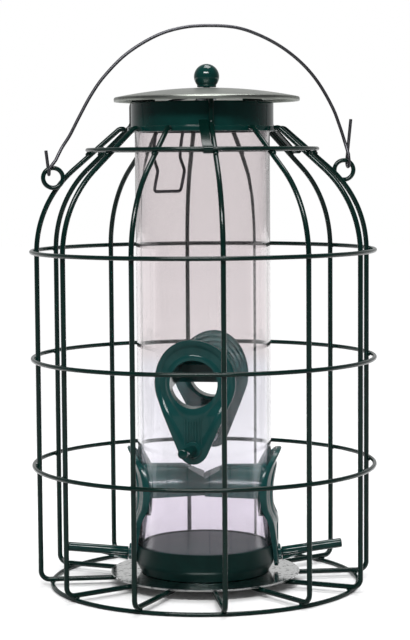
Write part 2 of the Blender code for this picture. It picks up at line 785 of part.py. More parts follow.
def make_port(port):
    """One port: plate, spigot, roof and perch boss joined, with the stud's bore cut through."""
    name = port.name + "_port"
    seat, along = perch_axis(port)
    sink = BOSS_HEIGHT + BEAD_HEIGHT + PORT_WALL / 2
    boss = rod(name + "_boss", BOSS_RADIUS, seat - along * sink, seat, GREEN_PLASTIC, SMALL_STEPS)
    plate = make_port_plate(name)
    spigot, roof = make_spigot(name + "_spigot"), make_roof(name + "_roof", port)
    for piece in (plate, spigot, boss):
        turn_to(piece, port.azimuth, port.z)
    for piece in (spigot, roof, boss):
        combine(plate, piece, "UNION")
    combine(plate, stud_cutter(name + "_bore", port), "DIFFERENCE")


def nut_depth(port):
    """How far in from a perch's seat its nut starts: behind the tube, or the dish for a low perch."""
    seat, along = perch_axis(port)
    wall = HOLLOW_RADIUS if port in LOW_PORTS else TUBE_INNER_RADIUS
    return -seat.y - wall + NUT_RADIUS**2 / (wall + wall) + NUT_RADIUS * along.z + SEAT_GAP


def make_perch(port):
    """One perch: a rod with a keel under it, and a threaded stud that goes in through the wall."""
    name = port.name + "_perch"
    seat, along = perch_axis(port)
    stud = nut_depth(port) + NUT_HEIGHT + STUD_OVERHANG
    perch = turned(
        name,
        [
            (0.0, PERCH_LENGTH),
            (PERCH_RADIUS - PERCH_EDGE, PERCH_LENGTH),
            (PERCH_RADIUS, PERCH_LENGTH - PERCH_EDGE),
            (PERCH_RADIUS, SEAT_GAP),
            (STUD_RADIUS, SEAT_GAP),
            (STUD_RADIUS, -stud),
            (0.0, -stud),
        ],
        GREEN_PLASTIC,
        PERCH_STEPS,
    )
    turn = along.to_track_quat("Z", "Y").to_matrix().to_4x4()
    perch.data.transform(Matrix.Translation(seat) @ turn)
    turn_to(perch, port.azimuth, port.z)
    combine(perch, make_keel(name + "_keel", port), "UNION")


def make_keel(name, port):
    """The thin web under a perch, deep at its seat and running out along it."""
    seat, along = perch_axis(port)
    start = -seat.y + SEAT_GAP + SEAT_GAP
    end_z = seat.z - KEEL_LENGTH * along.z / along.y
    outline = [
        (start, seat.z),
        (start, seat.z - KEEL_DEPTH),
        (start + KEEL_LENGTH, end_z - PERCH_RADIUS / 2),
        (start + KEEL_LENGTH, end_z),
    ]
    return turn_to(extruded(name, outline, KEEL_THICKNESS / 2, GREEN_PLASTIC), port.azimuth, port.z)


def make_nut(port):
    """The hexagon nut on a perch's stud, behind the wall."""
    name = port.name + "_perch_nut"
    seat, along = perch_axis(port)
    near = seat - along * nut_depth(port)
    far, over = near - along * NUT_HEIGHT, along * CUT_OVERRUN
    nut = turn_to(rod(name, NUT_RADIUS, far, near, BARE_STEEL, NUT_SIDES), port.azimuth, port.z)
    nut.data.shade_flat()
    bore = rod(name + "_bore", STUD_RADIUS + STUD_PLAY, far - over, near + over, BARE_STEEL, PERCH_STEPS)
    combine(nut, turn_to(bore, port.azimuth, port.z), "DIFFERENCE")


def make_ports_and_perches():
    """Two ports high at front and back, two low at the sides, each with its perch and nut."""
    for port in PORTS:
        make_port(port)
        make_perch(port)
        make_nut(port)


# Lid


def lid_sag(radius):
    """How far the lid has come down from its crown at this radius."""
    sphere = (LID_RADIUS**2 + LID_RISE**2) / (LID_RISE + LID_RISE)
    return sphere - math.sqrt(sphere**2 - radius**2)


def lid_crown_z():
    """The height of the lid's underside at its crown, as it rests on the three hooked ribs."""
    centre = (NECK_WIRE_RADIUS - HOOK_TOP_BEND, HOOK_Z - HOOK_TOP_BEND)
    crest = arc(centre, HOOK_TOP_BEND + RIB_WIRE, 0, 90, 30)
    heights = []
    for i in range(0, RIB_COUNT, HOOK_RIB_EVERY):
        for radius, z in crest:
            place = polar(radius, RIB_FIRST_DEG + RIB_PITCH_DEG * i, z)
            heights.append(z + lid_sag(math.hypot(place.x - LID_OFFSET, place.y)))
    return max(heights) + SEAT_GAP


CROWN_Z = lid_crown_z()
LID_TOP_Z = CROWN_Z + LID_THICKNESS


def make_lid():
    """The domed sheet lid with a turned-down lip and a hole for the knob's screw."""
    hole = SCREW_RADIUS + SCREW_PLAY
    radii = [hole + (LID_RADIUS - hole) * i / LID_ROWS for i in range(LID_ROWS + 1)]
    top = [(r, LID_TOP_Z - lid_sag(r)) for r in radii]
    rim = top[-1][1]
    lip_z, inside = rim - LID_THICKNESS - LID_LIP, LID_RADIUS - LID_THICKNESS
    lip = [(LID_RADIUS, lip_z), (inside, lip_z)]
    under = [(r, CROWN_Z - lid_sag(r)) for r in [inside] + radii[-2::-1]]
    return turned("lid", top + lip + under, BARE_STEEL)


def make_knob():
    """The ball knob on its short neck, bored from below for the screw."""
    seat = LID_TOP_Z + SEAT_GAP
    centre_z = seat + KNOB_LIFT
    start = math.degrees(math.acos(KNOB_NECK_RADIUS / KNOB_RADIUS))
    ball = arc((0.0, centre_z), KNOB_RADIUS, 90, -start, KNOB_ROWS)
    ball[0] = (0.0, ball[0][1])
    bore = SCREW_RADIUS + SCREW_PLAY
    bore_top = seat + SCREW_GRIP + SCREW_PLAY
    return turned(
        "lid_knob",
        ball + [(KNOB_NECK_RADIUS, seat), (bore, seat), (bore, bore_top), (0.0, bore_top)],
        GREEN_PLASTIC,
        KNOB_STEPS,
    )


def eye_z(turn):
    """The height of the catch wire's first (0) or second (1) eye under the lid."""
    step = CATCH_WIRE + CATCH_WIRE + SEAT_GAP
    return CROWN_Z - SEAT_GAP - CATCH_WIRE - step * turn


def make_lid_fastening():
    """The screw up through washer, catch and lid into the knob, and the washer on its head."""
    top = eye_z(1) - CATCH_WIRE - SEAT_GAP
    bottom = top - WASHER_THICKNESS
    washer = turned("lid_washer", washer_profile(WASHER_RADIUS, bottom, top), BARE_STEEL, SMALL_STEPS)
    seat = bottom - SEAT_GAP
    length = LID_TOP_Z + SCREW_GRIP - seat
    return washer, turned("lid_screw", screw_profile(seat, length), BARE_STEEL, SMALL_STEPS)


def make_catch():
    """The lid's wire catch: an eye on the screw, a leg down, a cross bar, a leg up, a second eye."""
    eye = SCREW_RADIUS + SEAT_GAP + CATCH_WIRE
    reach = TUBE_INNER_RADIUS - CATCH_WIRE - SEAT_GAP
    limit = math.sqrt(reach**2 - CATCH_HALF_WIDTH**2)
    halves = []
    for side, top in ((-1, eye_z(0)), (1, eye_z(1))):
        loop = []
        for i in range(CATCH_EYE_STEPS + 1):
            angle = math.radians(CATCH_EYE_END_DEG + CATCH_EYE_TURN_DEG * (1 - i / CATCH_EYE_STEPS))
            loop.append((side * eye * math.sin(angle), eye * math.cos(angle), top))
        start = Vector(loop[-1])
        toward = Vector((side * CATCH_HALF_WIDTH, CATCH_TOP_REACH, top)) - start
        leg = [tuple(start + toward.normalized() * CATCH_LEVEL_RUN)]
        for out, down in CATCH_SHARES:
            depth = CATCH_TOP_REACH + (limit - CATCH_TOP_REACH) * out
            leg.append((side * CATCH_HALF_WIDTH, depth, CROWN_Z + (CATCH_BOTTOM_Z - CROWN_Z) * down))
        halves.append((loop, leg))
    (left_loop, left_leg), (right_loop, right_leg) = halves
    bent = rounded([left_loop[-1]] + left_leg + right_leg[::-1] + [right_loop[-1]], CATCH_BEND)
    path = left_loop[:-1] + [tuple(point) for point in bent] + right_loop[-2::-1]
    points = [(x, -y, z) for x, y, z in path]
    catch = wire("lid_catch_wire", points, CATCH_WIRE, BARE_STEEL, resolution=1)
    return turn_to(catch, CATCH_AZIMUTH)


def make_lid_group():
    """The lid and what lifts with it, a little off the tube's axis as it lies on the ribs' hooks."""
    for piece in (make_lid(), make_knob(), *make_lid_fastening(), make_catch()):
        piece.location.x = LID_OFFSET


# Bail


def eye_centre(side):
    """(radius, height) of the right (0) or left (1) eye's centre beside its rib."""
    return dome_point(EYE_DOME_DEGS[side], EYE_STANDOFF)


def eye_azimuth(side):
    """The azimuth of an eye: a rib's at the side, and a step beside it that clears the rib's wire."""
    nearest = eye_centre(0)[0] - EYE_RADIUS - EYE_WIRE
    aside = math.degrees(math.asin((RIB_WIRE + EYE_WIRE + SEAT_GAP) / nearest))
    return RIB_FIRST_DEG + 90 + 180 * side + aside


def hook_place(side):
    """Where the bail hangs on an eye's wire: a little outward of the eye's top."""
    radius, z = eye_centre(side)
    lean = math.radians(HOOK_EYE_DEG)
    return polar(radius + EYE_RADIUS * math.sin(lean), eye_azimuth(side), z + EYE_RADIUS * math.cos(lean))


def make_eyes():
    """The two wire eyes beside the side ribs, for the bail's hooks."""
    for side, name in enumerate(("bail_eye_right", "bail_eye_left")):
        loop = arc(eye_centre(side), EYE_RADIUS, 0, 360, EYE_STEPS)[:-1]
        points = [(0.0, -radius, z) for radius, z in loop]
        turn_to(wire(name, points, EYE_WIRE, GREEN_WIRE, closed=True), eye_azimuth(side))


def curved(points, substeps):
    """A smooth path through these points, with this many steps from one to the next."""
    places = [Vector(point) for point in points]
    places = [places[0] * 2 - places[1]] + places + [places[-1] * 2 - places[-2]]
    path = []
    for a, b, c, d in zip(places, places[1:], places[2:], places[3:]):
        for i in range(substeps):
            t = i / substeps
            bend = (a * 2 - b * 5 + c * 4 - d) * t * t + (b * 3 - a - c * 3 + d) * t**3
            path.append(b + (c - a) * (t / 2) + bend / 2)
    return path + [places[-2]]


def bail_hook(side, half_span):
    """One hook from its tail's free end, round the eye's wire, to the foot of the arch."""
    out = 1 if side == 0 else -1
    loop = EYE_WIRE + BAIL_WIRE + HOOK_PLAY
    tail, lean = TAIL_LENGTHS[side], TAIL_LEANS[side]
    points = [(out * (half_span + lean), loop, tail), (out * half_span, loop, 0.0)]
    for i in range(1, HOOK_STEPS + 1):
        angle = math.pi * i / HOOK_STEPS
        points.append((out * half_span, loop * math.cos(angle), -loop * math.sin(angle)))
    return points


def make_bail():
    """The carrying wire, an arch hooked through both eyes. Its origin lies on the hooks' line."""
    right, left = hook_place(0), hook_place(1)
    half_span = (right - left).length / 2
    loop = EYE_WIRE + BAIL_WIRE + HOOK_PLAY
    arch = []
    for along, rise, _ in curved([(a, r, 0.0) for a, r in ARCH_SHARES], ARCH_STEPS):
        height = BAIL_RISE * rise
        arch.append((half_span * along, -loop * (1 - smooth_share(height / HOOK_BLEND)), height))
    points = bail_hook(1, half_span) + arch + bail_hook(0, half_span)[::-1]
    bail = wire("bail_handle", points, BAIL_WIRE, BAIL_STEEL)
    bail.location = (right + left) / 2
    bail.rotation_euler = (right - left).to_track_quat("X", "Z").to_euler()


def clear_scene():
    """Removes what the scene holds."""
    for item in list(bpy.data.objects):
        bpy.data.objects.remove(item, do_unlink=True)


def main():
    """Builds the feeder from the floor up."""
    clear_scene()
    make_ribs()
    make_rings()
    make_tabs()
    make_floor_disc()
    make_base_dish()
    make_base_screw()
    make_tube()
    make_collar()
    make_ports_and_perches()
    make_lid_group()
    make_eyes()
    make_bail()


main()
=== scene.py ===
"""A caged bird feeder dressed for the camera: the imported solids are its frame, and these its finer forms.

Metres, +Z up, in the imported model's frame. The origin is on the seed tube's axis at the underside of the
floor hoop, and the front is -Y. An azimuth counts in degrees from the front towards +X. Most pieces are
drawn at the front and then turned to their azimuth.
"""

import logging
import math
from dataclasses import dataclass
from enum import Enum
from typing import Iterable, Sequence

import bmesh
import bpy
from mathutils import Matrix, Vector


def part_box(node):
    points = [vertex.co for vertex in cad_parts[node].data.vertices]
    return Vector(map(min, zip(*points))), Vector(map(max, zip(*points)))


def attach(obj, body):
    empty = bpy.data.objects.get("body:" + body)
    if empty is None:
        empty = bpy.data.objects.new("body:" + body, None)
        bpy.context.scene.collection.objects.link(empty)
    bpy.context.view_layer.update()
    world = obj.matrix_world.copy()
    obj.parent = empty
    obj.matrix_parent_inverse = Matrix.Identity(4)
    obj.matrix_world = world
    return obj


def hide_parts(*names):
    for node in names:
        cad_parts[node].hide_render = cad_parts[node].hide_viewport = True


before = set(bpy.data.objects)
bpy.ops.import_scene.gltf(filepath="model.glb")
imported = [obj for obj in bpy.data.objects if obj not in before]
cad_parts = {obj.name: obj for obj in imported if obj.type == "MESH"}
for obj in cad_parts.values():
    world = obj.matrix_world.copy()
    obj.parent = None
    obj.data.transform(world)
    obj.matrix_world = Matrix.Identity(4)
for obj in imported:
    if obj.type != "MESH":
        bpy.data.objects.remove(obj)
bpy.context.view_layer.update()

log = logging.getLogger("feeder")

Point = Sequence[float]
Profile = list[tuple[float, float]]
Colour = tuple[float, float, float, float]

WHITE: Colour = (1.0, 1.0, 1.0, 1.0)
BLACK: Colour = (0.0, 0.0, 0.0, 1.0)

MM_PER_M = 1000
SEAT_GAP = 0.0003
ON_AXIS = 1e-7
LEAST_TANGENT = 0.001
WIRE_SIDES = 16
LUMP_ROWS = 6
LUMP_SIDES = 10
TURN_SEGMENTS = 128
SHARP_DEG = 40.0

# A cut wire's end, row by row: the share of the wire's radius left there, and how many radii further out.
DOMED_END = ((0.93, 0.07), (0.72, 0.16), (0.0, 0.22))

# A Mix node's colour sockets: its two inputs and its result.
MIX_FIRST, MIX_SECOND, MIX_RESULT = 6, 7, 2

# What tells no bounce from one, in a count of a ray's bounces.
UNDER_ONE = 0.5


class Body(Enum):
    """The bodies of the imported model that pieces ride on."""

    CAGE = "caged_tube"
    LID = "lid_group"
    BAIL = "bail"


class Slot(Enum):
    """The material slots."""

    CAGE = "cage_coating"
    PLASTIC = "green_plastic"
    CLEAR = "clear_plastic"
    SHEET = "sheet_metal"
    BAIL = "bail_wire"
    FASTENER = "fastener_steel"


class Side(Enum):
    """The two sides that carry the handle's eyes, as the sign of x."""

    RIGHT = 1
    LEFT = -1

    def pick(self, pair: tuple[float, float]) -> float:
        """Gives this side's value of a pair, the right one first."""
        return pair[0] if self is Side.RIGHT else pair[1]


# Colour and nodes


def linear(hex_colour: str) -> Colour:
    """Turns an sRGB hex colour into the linear one that shaders take.

    Args:
        hex_colour: Six hex digits after a #.

    Returns:
        Linear red, green and blue, and an alpha of 1.
    """
    digits = hex_colour.lstrip("#")
    shares = [int(digits[i : i + 2], 16) / 255 for i in (0, 2, 4)]
    toned = [s / 12.92 if s <= 0.04045 else ((s + 0.055) / 1.055) ** 2.4 for s in shares]
    return (toned[0], toned[1], toned[2], 1.0)


def add_node(
    tree: bpy.types.NodeTree,
    kind: str,
    inputs: dict[str | int, object] | None = None,
    stops: Sequence[tuple[float, Colour]] = (),
    **settings: object,
) -> bpy.types.Node:
    """Adds one shader node with its settings, and fills its inputs.

    Args:
        tree: The node tree to add to.
        kind: Blender's type name of the node, without ShaderNode before it.
        inputs: Values or other nodes' output sockets, by input name or number.
        stops: A colour ramp's places and colours, in order.
        settings: Properties of the node itself.

    Returns:
        The new node.
    """
    node = tree.nodes.new(f"ShaderNode{kind}")
    for name, value in settings.items():
        setattr(node, name, value)
    for key, value in (inputs or {}).items():
        if isinstance(value, bpy.types.NodeSocket):
            tree.links.new(value, node.inputs[key])
        else:
            node.inputs[key].default_value = value
    if stops:
        elements = node.color_ramp.elements
        while len(elements) < len(stops):
            elements.new(1.0)
        for element, (place, colour) in zip(elements, stops):
            element.position, element.color = place, colour
    return node


# Finishes


@dataclass(frozen=True)
class Finish:
    """What every finish shares: a name, two shades, a typical gloss, and a fine unevenness of surface."""

    name: str
    base: str = "#ffffff"
    shade: str = "#ffffff"
    roughness: float = 0.5
    metallic: float = 0.0
    specular: float = 0.5
    gloss_spread: float = 0.06
    patch_mm: float = 12.0
    grain_mm: float = 0.8
    grain_height_mm: float = 0.01
    shade_at: float = 0.3
    base_at: float = 0.7
    patch_detail: float = 3.0
    grain_detail: float = 2.0

    def start(self) -> tuple[bpy.types.Material, bpy.types.NodeTree, bpy.types.Node]:
        """Makes the material with a Principled shader on its output.

        Returns:
            The material, its node tree and its shader.
        """
        made = bpy.data.materials.new(self.name)
        made.use_nodes = True
        tree = made.node_tree
        tree.nodes.clear()
        kind = {"Metallic": self.metallic, "Specular IOR Level": self.specular}
        shader = add_node(tree, "BsdfPrincipled", kind)
        add_node(tree, "OutputMaterial", {"Surface": shader.outputs["BSDF"]})
        return made, tree, shader

    def vary(
        self, tree: bpy.types.NodeTree, shader: bpy.types.Node, pattern: bpy.types.NodeSocket
    ) -> bpy.types.NodeSocket:
        """Varies the gloss with a pattern, and runs the finish's two shades through it.

        Args:
            tree: The material's node tree.
            shader: Its shader.
            pattern: What varies over the surface, from 0 to 1.

        Returns:
            The colour.
        """
        low, high = self.roughness - self.gloss_spread, self.roughness + self.gloss_spread
        gloss = add_node(tree, "MapRange", {"Value": pattern, "To Min": low, "To Max": high})
        tree.links.new(gloss.outputs["Result"], shader.inputs["Roughness"])
        shades = ((self.shade_at, linear(self.shade)), (self.base_at, linear(self.base)))
        return add_node(tree, "ValToRGB", {"Fac": pattern}, shades).outputs["Color"]

    def emboss(self, tree: bpy.types.NodeTree, shader: bpy.types.Node, height: bpy.types.NodeSocket) -> None:
        """Raises a pattern as bump, as high as the finish says.

        Args:
            tree: The material's node tree.
            shader: The shader whose normal it turns.
            height: The pattern, from 0 to 1.
        """
        raised = {"Height": height, "Distance": self.grain_height_mm / MM_PER_M, "Strength": 1.0}
        bump = add_node(tree, "Bump", raised)
        tree.links.new(bump.outputs["Normal"], shader.inputs["Normal"])

    def build(self) -> bpy.types.Material:
        """Makes the finish: patches of slightly unlike colour and gloss over a fine grain.

        Returns:
            The material.
        """
        made, tree, shader = self.start()
        place = add_node(tree, "TexCoord").outputs["Object"]
        sizes = ((self.patch_mm, self.patch_detail), (self.grain_mm, self.grain_detail))
        patches, grain = (
            add_node(tree, "TexNoise", {"Vector": place, "Scale": MM_PER_M / size, "Detail": detail})
            for size, detail in sizes
        )
        colour = self.vary(tree, shader, patches.outputs["Fac"])
        tree.links.new(colour, shader.inputs["Base Color"])
        self.emboss(tree, shader, grain.outputs["Fac"])
        return made


@dataclass(frozen=True)
class WorkedSheet(Finish):
    """Galvanised sheet, spun or blanked: fine rings about the piece's axis, and dull specks in the zinc."""

    axis_x: float = 0.0
    ring_mm: float = 0.7
    ring_detail: float = 4.0
    ring_roughness: float = 0.7
    speck_mm: float = 2.2
    speck: str = "#7c7f7f"
    speck_share: float = 0.30
    speck_edge: float = 0.08

    def build(self) -> bpy.types.Material:
        """Makes the finish from rings and specks.

        Returns:
            The material.
        """
        made, tree, shader = self.start()
        place = add_node(tree, "TexCoord").outputs["Object"]
        flat = {"Vector": place, "Location": (-self.axis_x, 0, 0), "Scale": (1, 1, 0)}
        moved = add_node(tree, "Mapping", flat)
        reach = add_node(tree, "VectorMath", {0: moved.outputs["Vector"]}, operation="LENGTH")
        turned = {"W": reach.outputs["Value"], "Scale": MM_PER_M / self.ring_mm}
        turned |= {"Detail": self.ring_detail, "Roughness": self.ring_roughness}
        rings = add_node(tree, "TexNoise", turned, noise_dimensions="1D")
        dulled = {"Vector": place, "Scale": MM_PER_M / self.speck_mm, "Detail": self.grain_detail}
        specks = add_node(tree, "TexNoise", dulled)
        ends = ((self.speck_share, WHITE), (self.speck_share + self.speck_edge, BLACK))
        spots = add_node(tree, "ValToRGB", {"Fac": specks.outputs["Fac"]}, ends)
        tone = self.vary(tree, shader, rings.outputs["Fac"])
        mixed = {"Factor": spots.outputs["Color"], MIX_FIRST: tone, MIX_SECOND: linear(self.speck)}
        colour = add_node(tree, "Mix", mixed, data_type="RGBA")
        tree.links.new(colour.outputs[MIX_RESULT], shader.inputs["Base Color"])
        self.emboss(tree, shader, rings.outputs["Fac"])
        return made


@dataclass(frozen=True)
class ExtrudedTube(Finish):
    """Clear extruded plastic: it lets light through, has faint draw lines along it, and is hazy low down.

    Each tint holds a height in metres, the colour that the wall gives what is behind, and its clearness.
    """

    # The less clear tints low down are painted haze that stands in for reflections in the walls.
    tints: tuple[tuple[float, str, float], ...] = (
        (0.046, "#ebe6ee", 0.982),
        (0.066, "#f6f5f9", 0.988),
        (0.113, "#f4f3f7", 0.994),
        (0.121, "#efeaeb", 0.994),
    )
    full_height: float = 0.25
    ior: float = 1.49
    line_mm: float = 2.4
    line_stretch: float = 0.02

    def build(self) -> bpy.types.Material:
        """Makes the finish from its tints and draw lines, and lets lamps' light reach what is inside.

        Returns:
            The material.
        """
        made, tree, shader = self.start()
        place = add_node(tree, "TexCoord").outputs["Object"]
        parts = add_node(tree, "SeparateXYZ", {"Vector": place})
        height = add_node(tree, "MapRange", {"Value": parts.outputs["Z"], "From Max": self.full_height})
        up = {"Fac": height.outputs["Result"]}
        colours = [(z / self.full_height, linear(tint)) for z, tint, _ in self.tints]
        greys = [(z / self.full_height, (clear, clear, clear, 1.0)) for z, _, clear in self.tints]
        colour, clear = add_node(tree, "ValToRGB", up, colours), add_node(tree, "ValToRGB", up, greys)
        tree.links.new(colour.outputs["Color"], shader.inputs["Base Color"])
        tree.links.new(clear.outputs["Color"], shader.inputs["Transmission Weight"])
        shader.inputs["Roughness"].default_value = self.roughness
        shader.inputs["IOR"].default_value = self.ior
        shadow = add_node(tree, "LightPath").outputs["Is Shadow Ray"]
        unshaded = add_node(tree, "Math", {0: 1.0, 1: shadow}, operation="SUBTRACT")
        tree.links.new(unshaded.outputs["Value"], shader.inputs["Alpha"])
        drawn = add_node(tree, "Mapping", {"Vector": place, "Scale": (1.0, 1.0, self.line_stretch)})
        fine = {"Scale": MM_PER_M / self.line_mm, "Detail": self.grain_detail}
        lines = add_node(tree, "TexNoise", {"Vector": drawn.outputs["Vector"]} | fine)
        self.emboss(tree, shader, lines.outputs["Fac"])
        return made


@dataclass(frozen=True)
class Finishes:
    """Every finish of the feeder, made once."""

    powder_coat: bpy.types.Material
    moulded: bpy.types.Material
    satin_painted_shade: bpy.types.Material
    polished_dark_and_painted_shade: bpy.types.Material
    tube: bpy.types.Material
    lid_sheet: bpy.types.Material
    disc_sheet: bpy.types.Material
    bare_wire: bpy.types.Material
    zinc: bpy.types.Material

    @staticmethod
    def make(lid_axis_x: float) -> "Finishes":
        """Makes them all.

        Args:
            lid_axis_x: Where the lid's own axis stands, for its spinning rings.

        Returns:
            The finishes.
        """
        kinds = (
            # Polyester powder baked on steel wire: deep gloss with the faint orange peel of a flowed coat.
            Finish(
                "polyester_powder_coat_baked", "#04221d", "#031b17", roughness=0.17, specular=0.32,
                grain_mm=1.6, grain_height_mm=0.012,
            ),
            # Polypropylene, injection moulded: gloss a little softer than the wire's, cloudy in patches.
            Finish(
                "polypropylene_moulded", "#124241", "#0e3938", roughness=0.18, specular=0.35, patch_mm=9.0,
                grain_mm=0.9, grain_height_mm=0.002,
            ),
            # The same plastic off a satin mould, with less of a mirror to it, on the dish; its darker colour
            # is painted shade.
            Finish(
                "polypropylene_satin_painted_shade", "#052623", "#041e1c", roughness=0.33, specular=0.18,
                patch_mm=9.0, grain_mm=0.9, grain_height_mm=0.001,
            ),
            # The same plastic off a polished mould, darker, with small sharp lights; collar, knob, perches.
            # On the collar the darker colour is painted shade, as under the lid.
            Finish(
                "polypropylene_polished_dark_and_painted_shade", "#07332f", "#052a27", roughness=0.11, specular=0.45,
                gloss_spread=0.03, patch_mm=9.0, grain_mm=2.0, grain_height_mm=0.002,
            ),
            # Acrylic, extruded: clear walls, a little milky low down, where the haze is painted, standing in
            # for the walls' reflections.
            ExtrudedTube("acrylic_extruded", roughness=0.03, specular=0.15, grain_height_mm=0.004),
            # Galvanised sheet, spun to a shallow dome: rings show as fine changes of gloss.
            WorkedSheet(
                "galvanised_sheet_spun", "#9a9d98", "#878b84", roughness=0.36, metallic=1.0,
                grain_height_mm=0.004, axis_x=lid_axis_x,
            ),
            # Galvanised sheet, blanked flat: it mirrors the dish, with specks where the zinc spangled.
            WorkedSheet(
                "galvanised_sheet_blanked", "#f6f7f6", "#e2e4e3", roughness=0.13, metallic=1.0,
                gloss_spread=0.04, grain_height_mm=0.001, speck_share=0.36,
            ),
            # Mild steel wire, cold drawn: dull dark grey, smooth along the draw.
            Finish(
                "steel_wire_drawn", "#59595d", "#4c4c50", roughness=0.42, metallic=1.0, patch_mm=14.0,
                grain_mm=3.0, grain_height_mm=0.001,
            ),
            # Steel, zinc plated: bright and faintly blue.
            Finish(
                "steel_zinc_plated", "#b9bdc2", "#a4a9af", roughness=0.28, metallic=1.0, patch_mm=4.0,
                grain_mm=0.3, grain_height_mm=0.003,
            ),
        )
        return Finishes(*(kind.build() for kind in kinds))


# Lines and outlines


def around(count: int) -> list[float]:
    """Gives this many angles, evenly round a full turn."""
    return [math.tau * i / count for i in range(count)]


def spread(first: float, last: float, steps: int) -> list[float]:
    """Gives evenly spaced values from first to last, both included."""
    return [first + (last - first) * i / steps for i in range(steps + 1)]


def polar(radius: float, degrees: float, z: float = 0.0) -> Vector:
    """Gives the point at an azimuth counted from the front towards +X."""
    angle = math.radians(degrees)
    return Vector((radius * math.sin(angle), -radius * math.cos(angle), z))


def arc(centre: tuple[float, float], radius: float, first: float, last: float, steps: int) -> Profile:
    """Gives the points of an arc in a (radius, height) plane, from one angle in degrees to another."""
    turns = [math.radians(degrees) for degrees in spread(first, last, steps)]
    return [(centre[0] + radius * math.cos(a), centre[1] + radius * math.sin(a)) for a in turns]


def ease(value: float) -> float:
    """Eases from 0 to 1 with level ends."""
    value = min(max(value, 0.0), 1.0)
    return value * value * (3 - 2 * value)


def rounded(points: Sequence[Point], bend: float, steps: int = 5) -> list[Vector]:
    """Rounds the inner corners of an open path.

    Args:
        points: The path's corners, in two or three dimensions.
        bend: The radius of the rounding, held back where a leg is short.
        steps: Steps in each rounding.

    Returns:
        The rounded path.
    """
    path = [Vector(points[0])]
    for before, corner, after in zip(points, points[1:], points[2:]):
        corner = Vector(corner)
        back, ahead = Vector(before) - corner, Vector(after) - corner
        half = back.angle(ahead) / 2
        reach = min(bend / max(math.tan(half), LEAST_TANGENT), back.length / 2, ahead.length / 2)
        start, end = corner + back.normalized() * reach, corner + ahead.normalized() * reach
        for i in range(steps + 1):
            t = i / steps
            path.append(start * (1 - t) ** 2 + corner * (2 * t * (1 - t)) + end * t * t)
    path.append(Vector(points[-1]))
    return path


def curved(points: Sequence[Point], substeps: int) -> list[Vector]:
    """Runs a smooth path through these points.

    Args:
        points: The points that it passes.
        substeps: Steps from one point to the next.

    Returns:
        The path.
    """
    places = [Vector(point) for point in points]
    places = [places[0] * 2 - places[1]] + places + [places[-1] * 2 - places[-2]]
    path = []
    for a, b, c, d in zip(places, places[1:], places[2:], places[3:]):
        for i in range(substeps):
            t = i / substeps
            bend = (a * 2 - b * 5 + c * 4 - d) * t * t + (b * 3 - a - c * 3 + d) * t**3
            path.append(b + (c - a) * (t / 2) + bend / 2)
    return path + [places[-2]]


def turned_to(points: Iterable[Vector], azimuth: float, z: float = 0.0) -> list[Vector]:
    """Turns points drawn at the front to an azimuth, and lifts them."""
    spin = Matrix.Rotation(math.radians(azimuth), 4, "Z")
    return [spin @ Vector(point) + Vector((0, 0, z)) for point in points]


def thickened(line: Profile, half: float) -> Profile:
    """Gives a closed outline round an open line.

    Args:
        line: The line.
        half: How far the outline lies to each side of it.

    Returns:
        The outline.
    """
    left, right = [], []
    for i, point in enumerate(line):
        before, after = line[max(i - 1, 0)], line[min(i + 1, len(line) - 1)]
        along = Vector((after[0] - before[0], after[1] - before[1])).normalized()
        left.append((point[0] - along.y * half, point[1] + along.x * half))
        right.append((point[0] + along.y * half, point[1] - along.x * half))
    return left + right[::-1]


# Solids


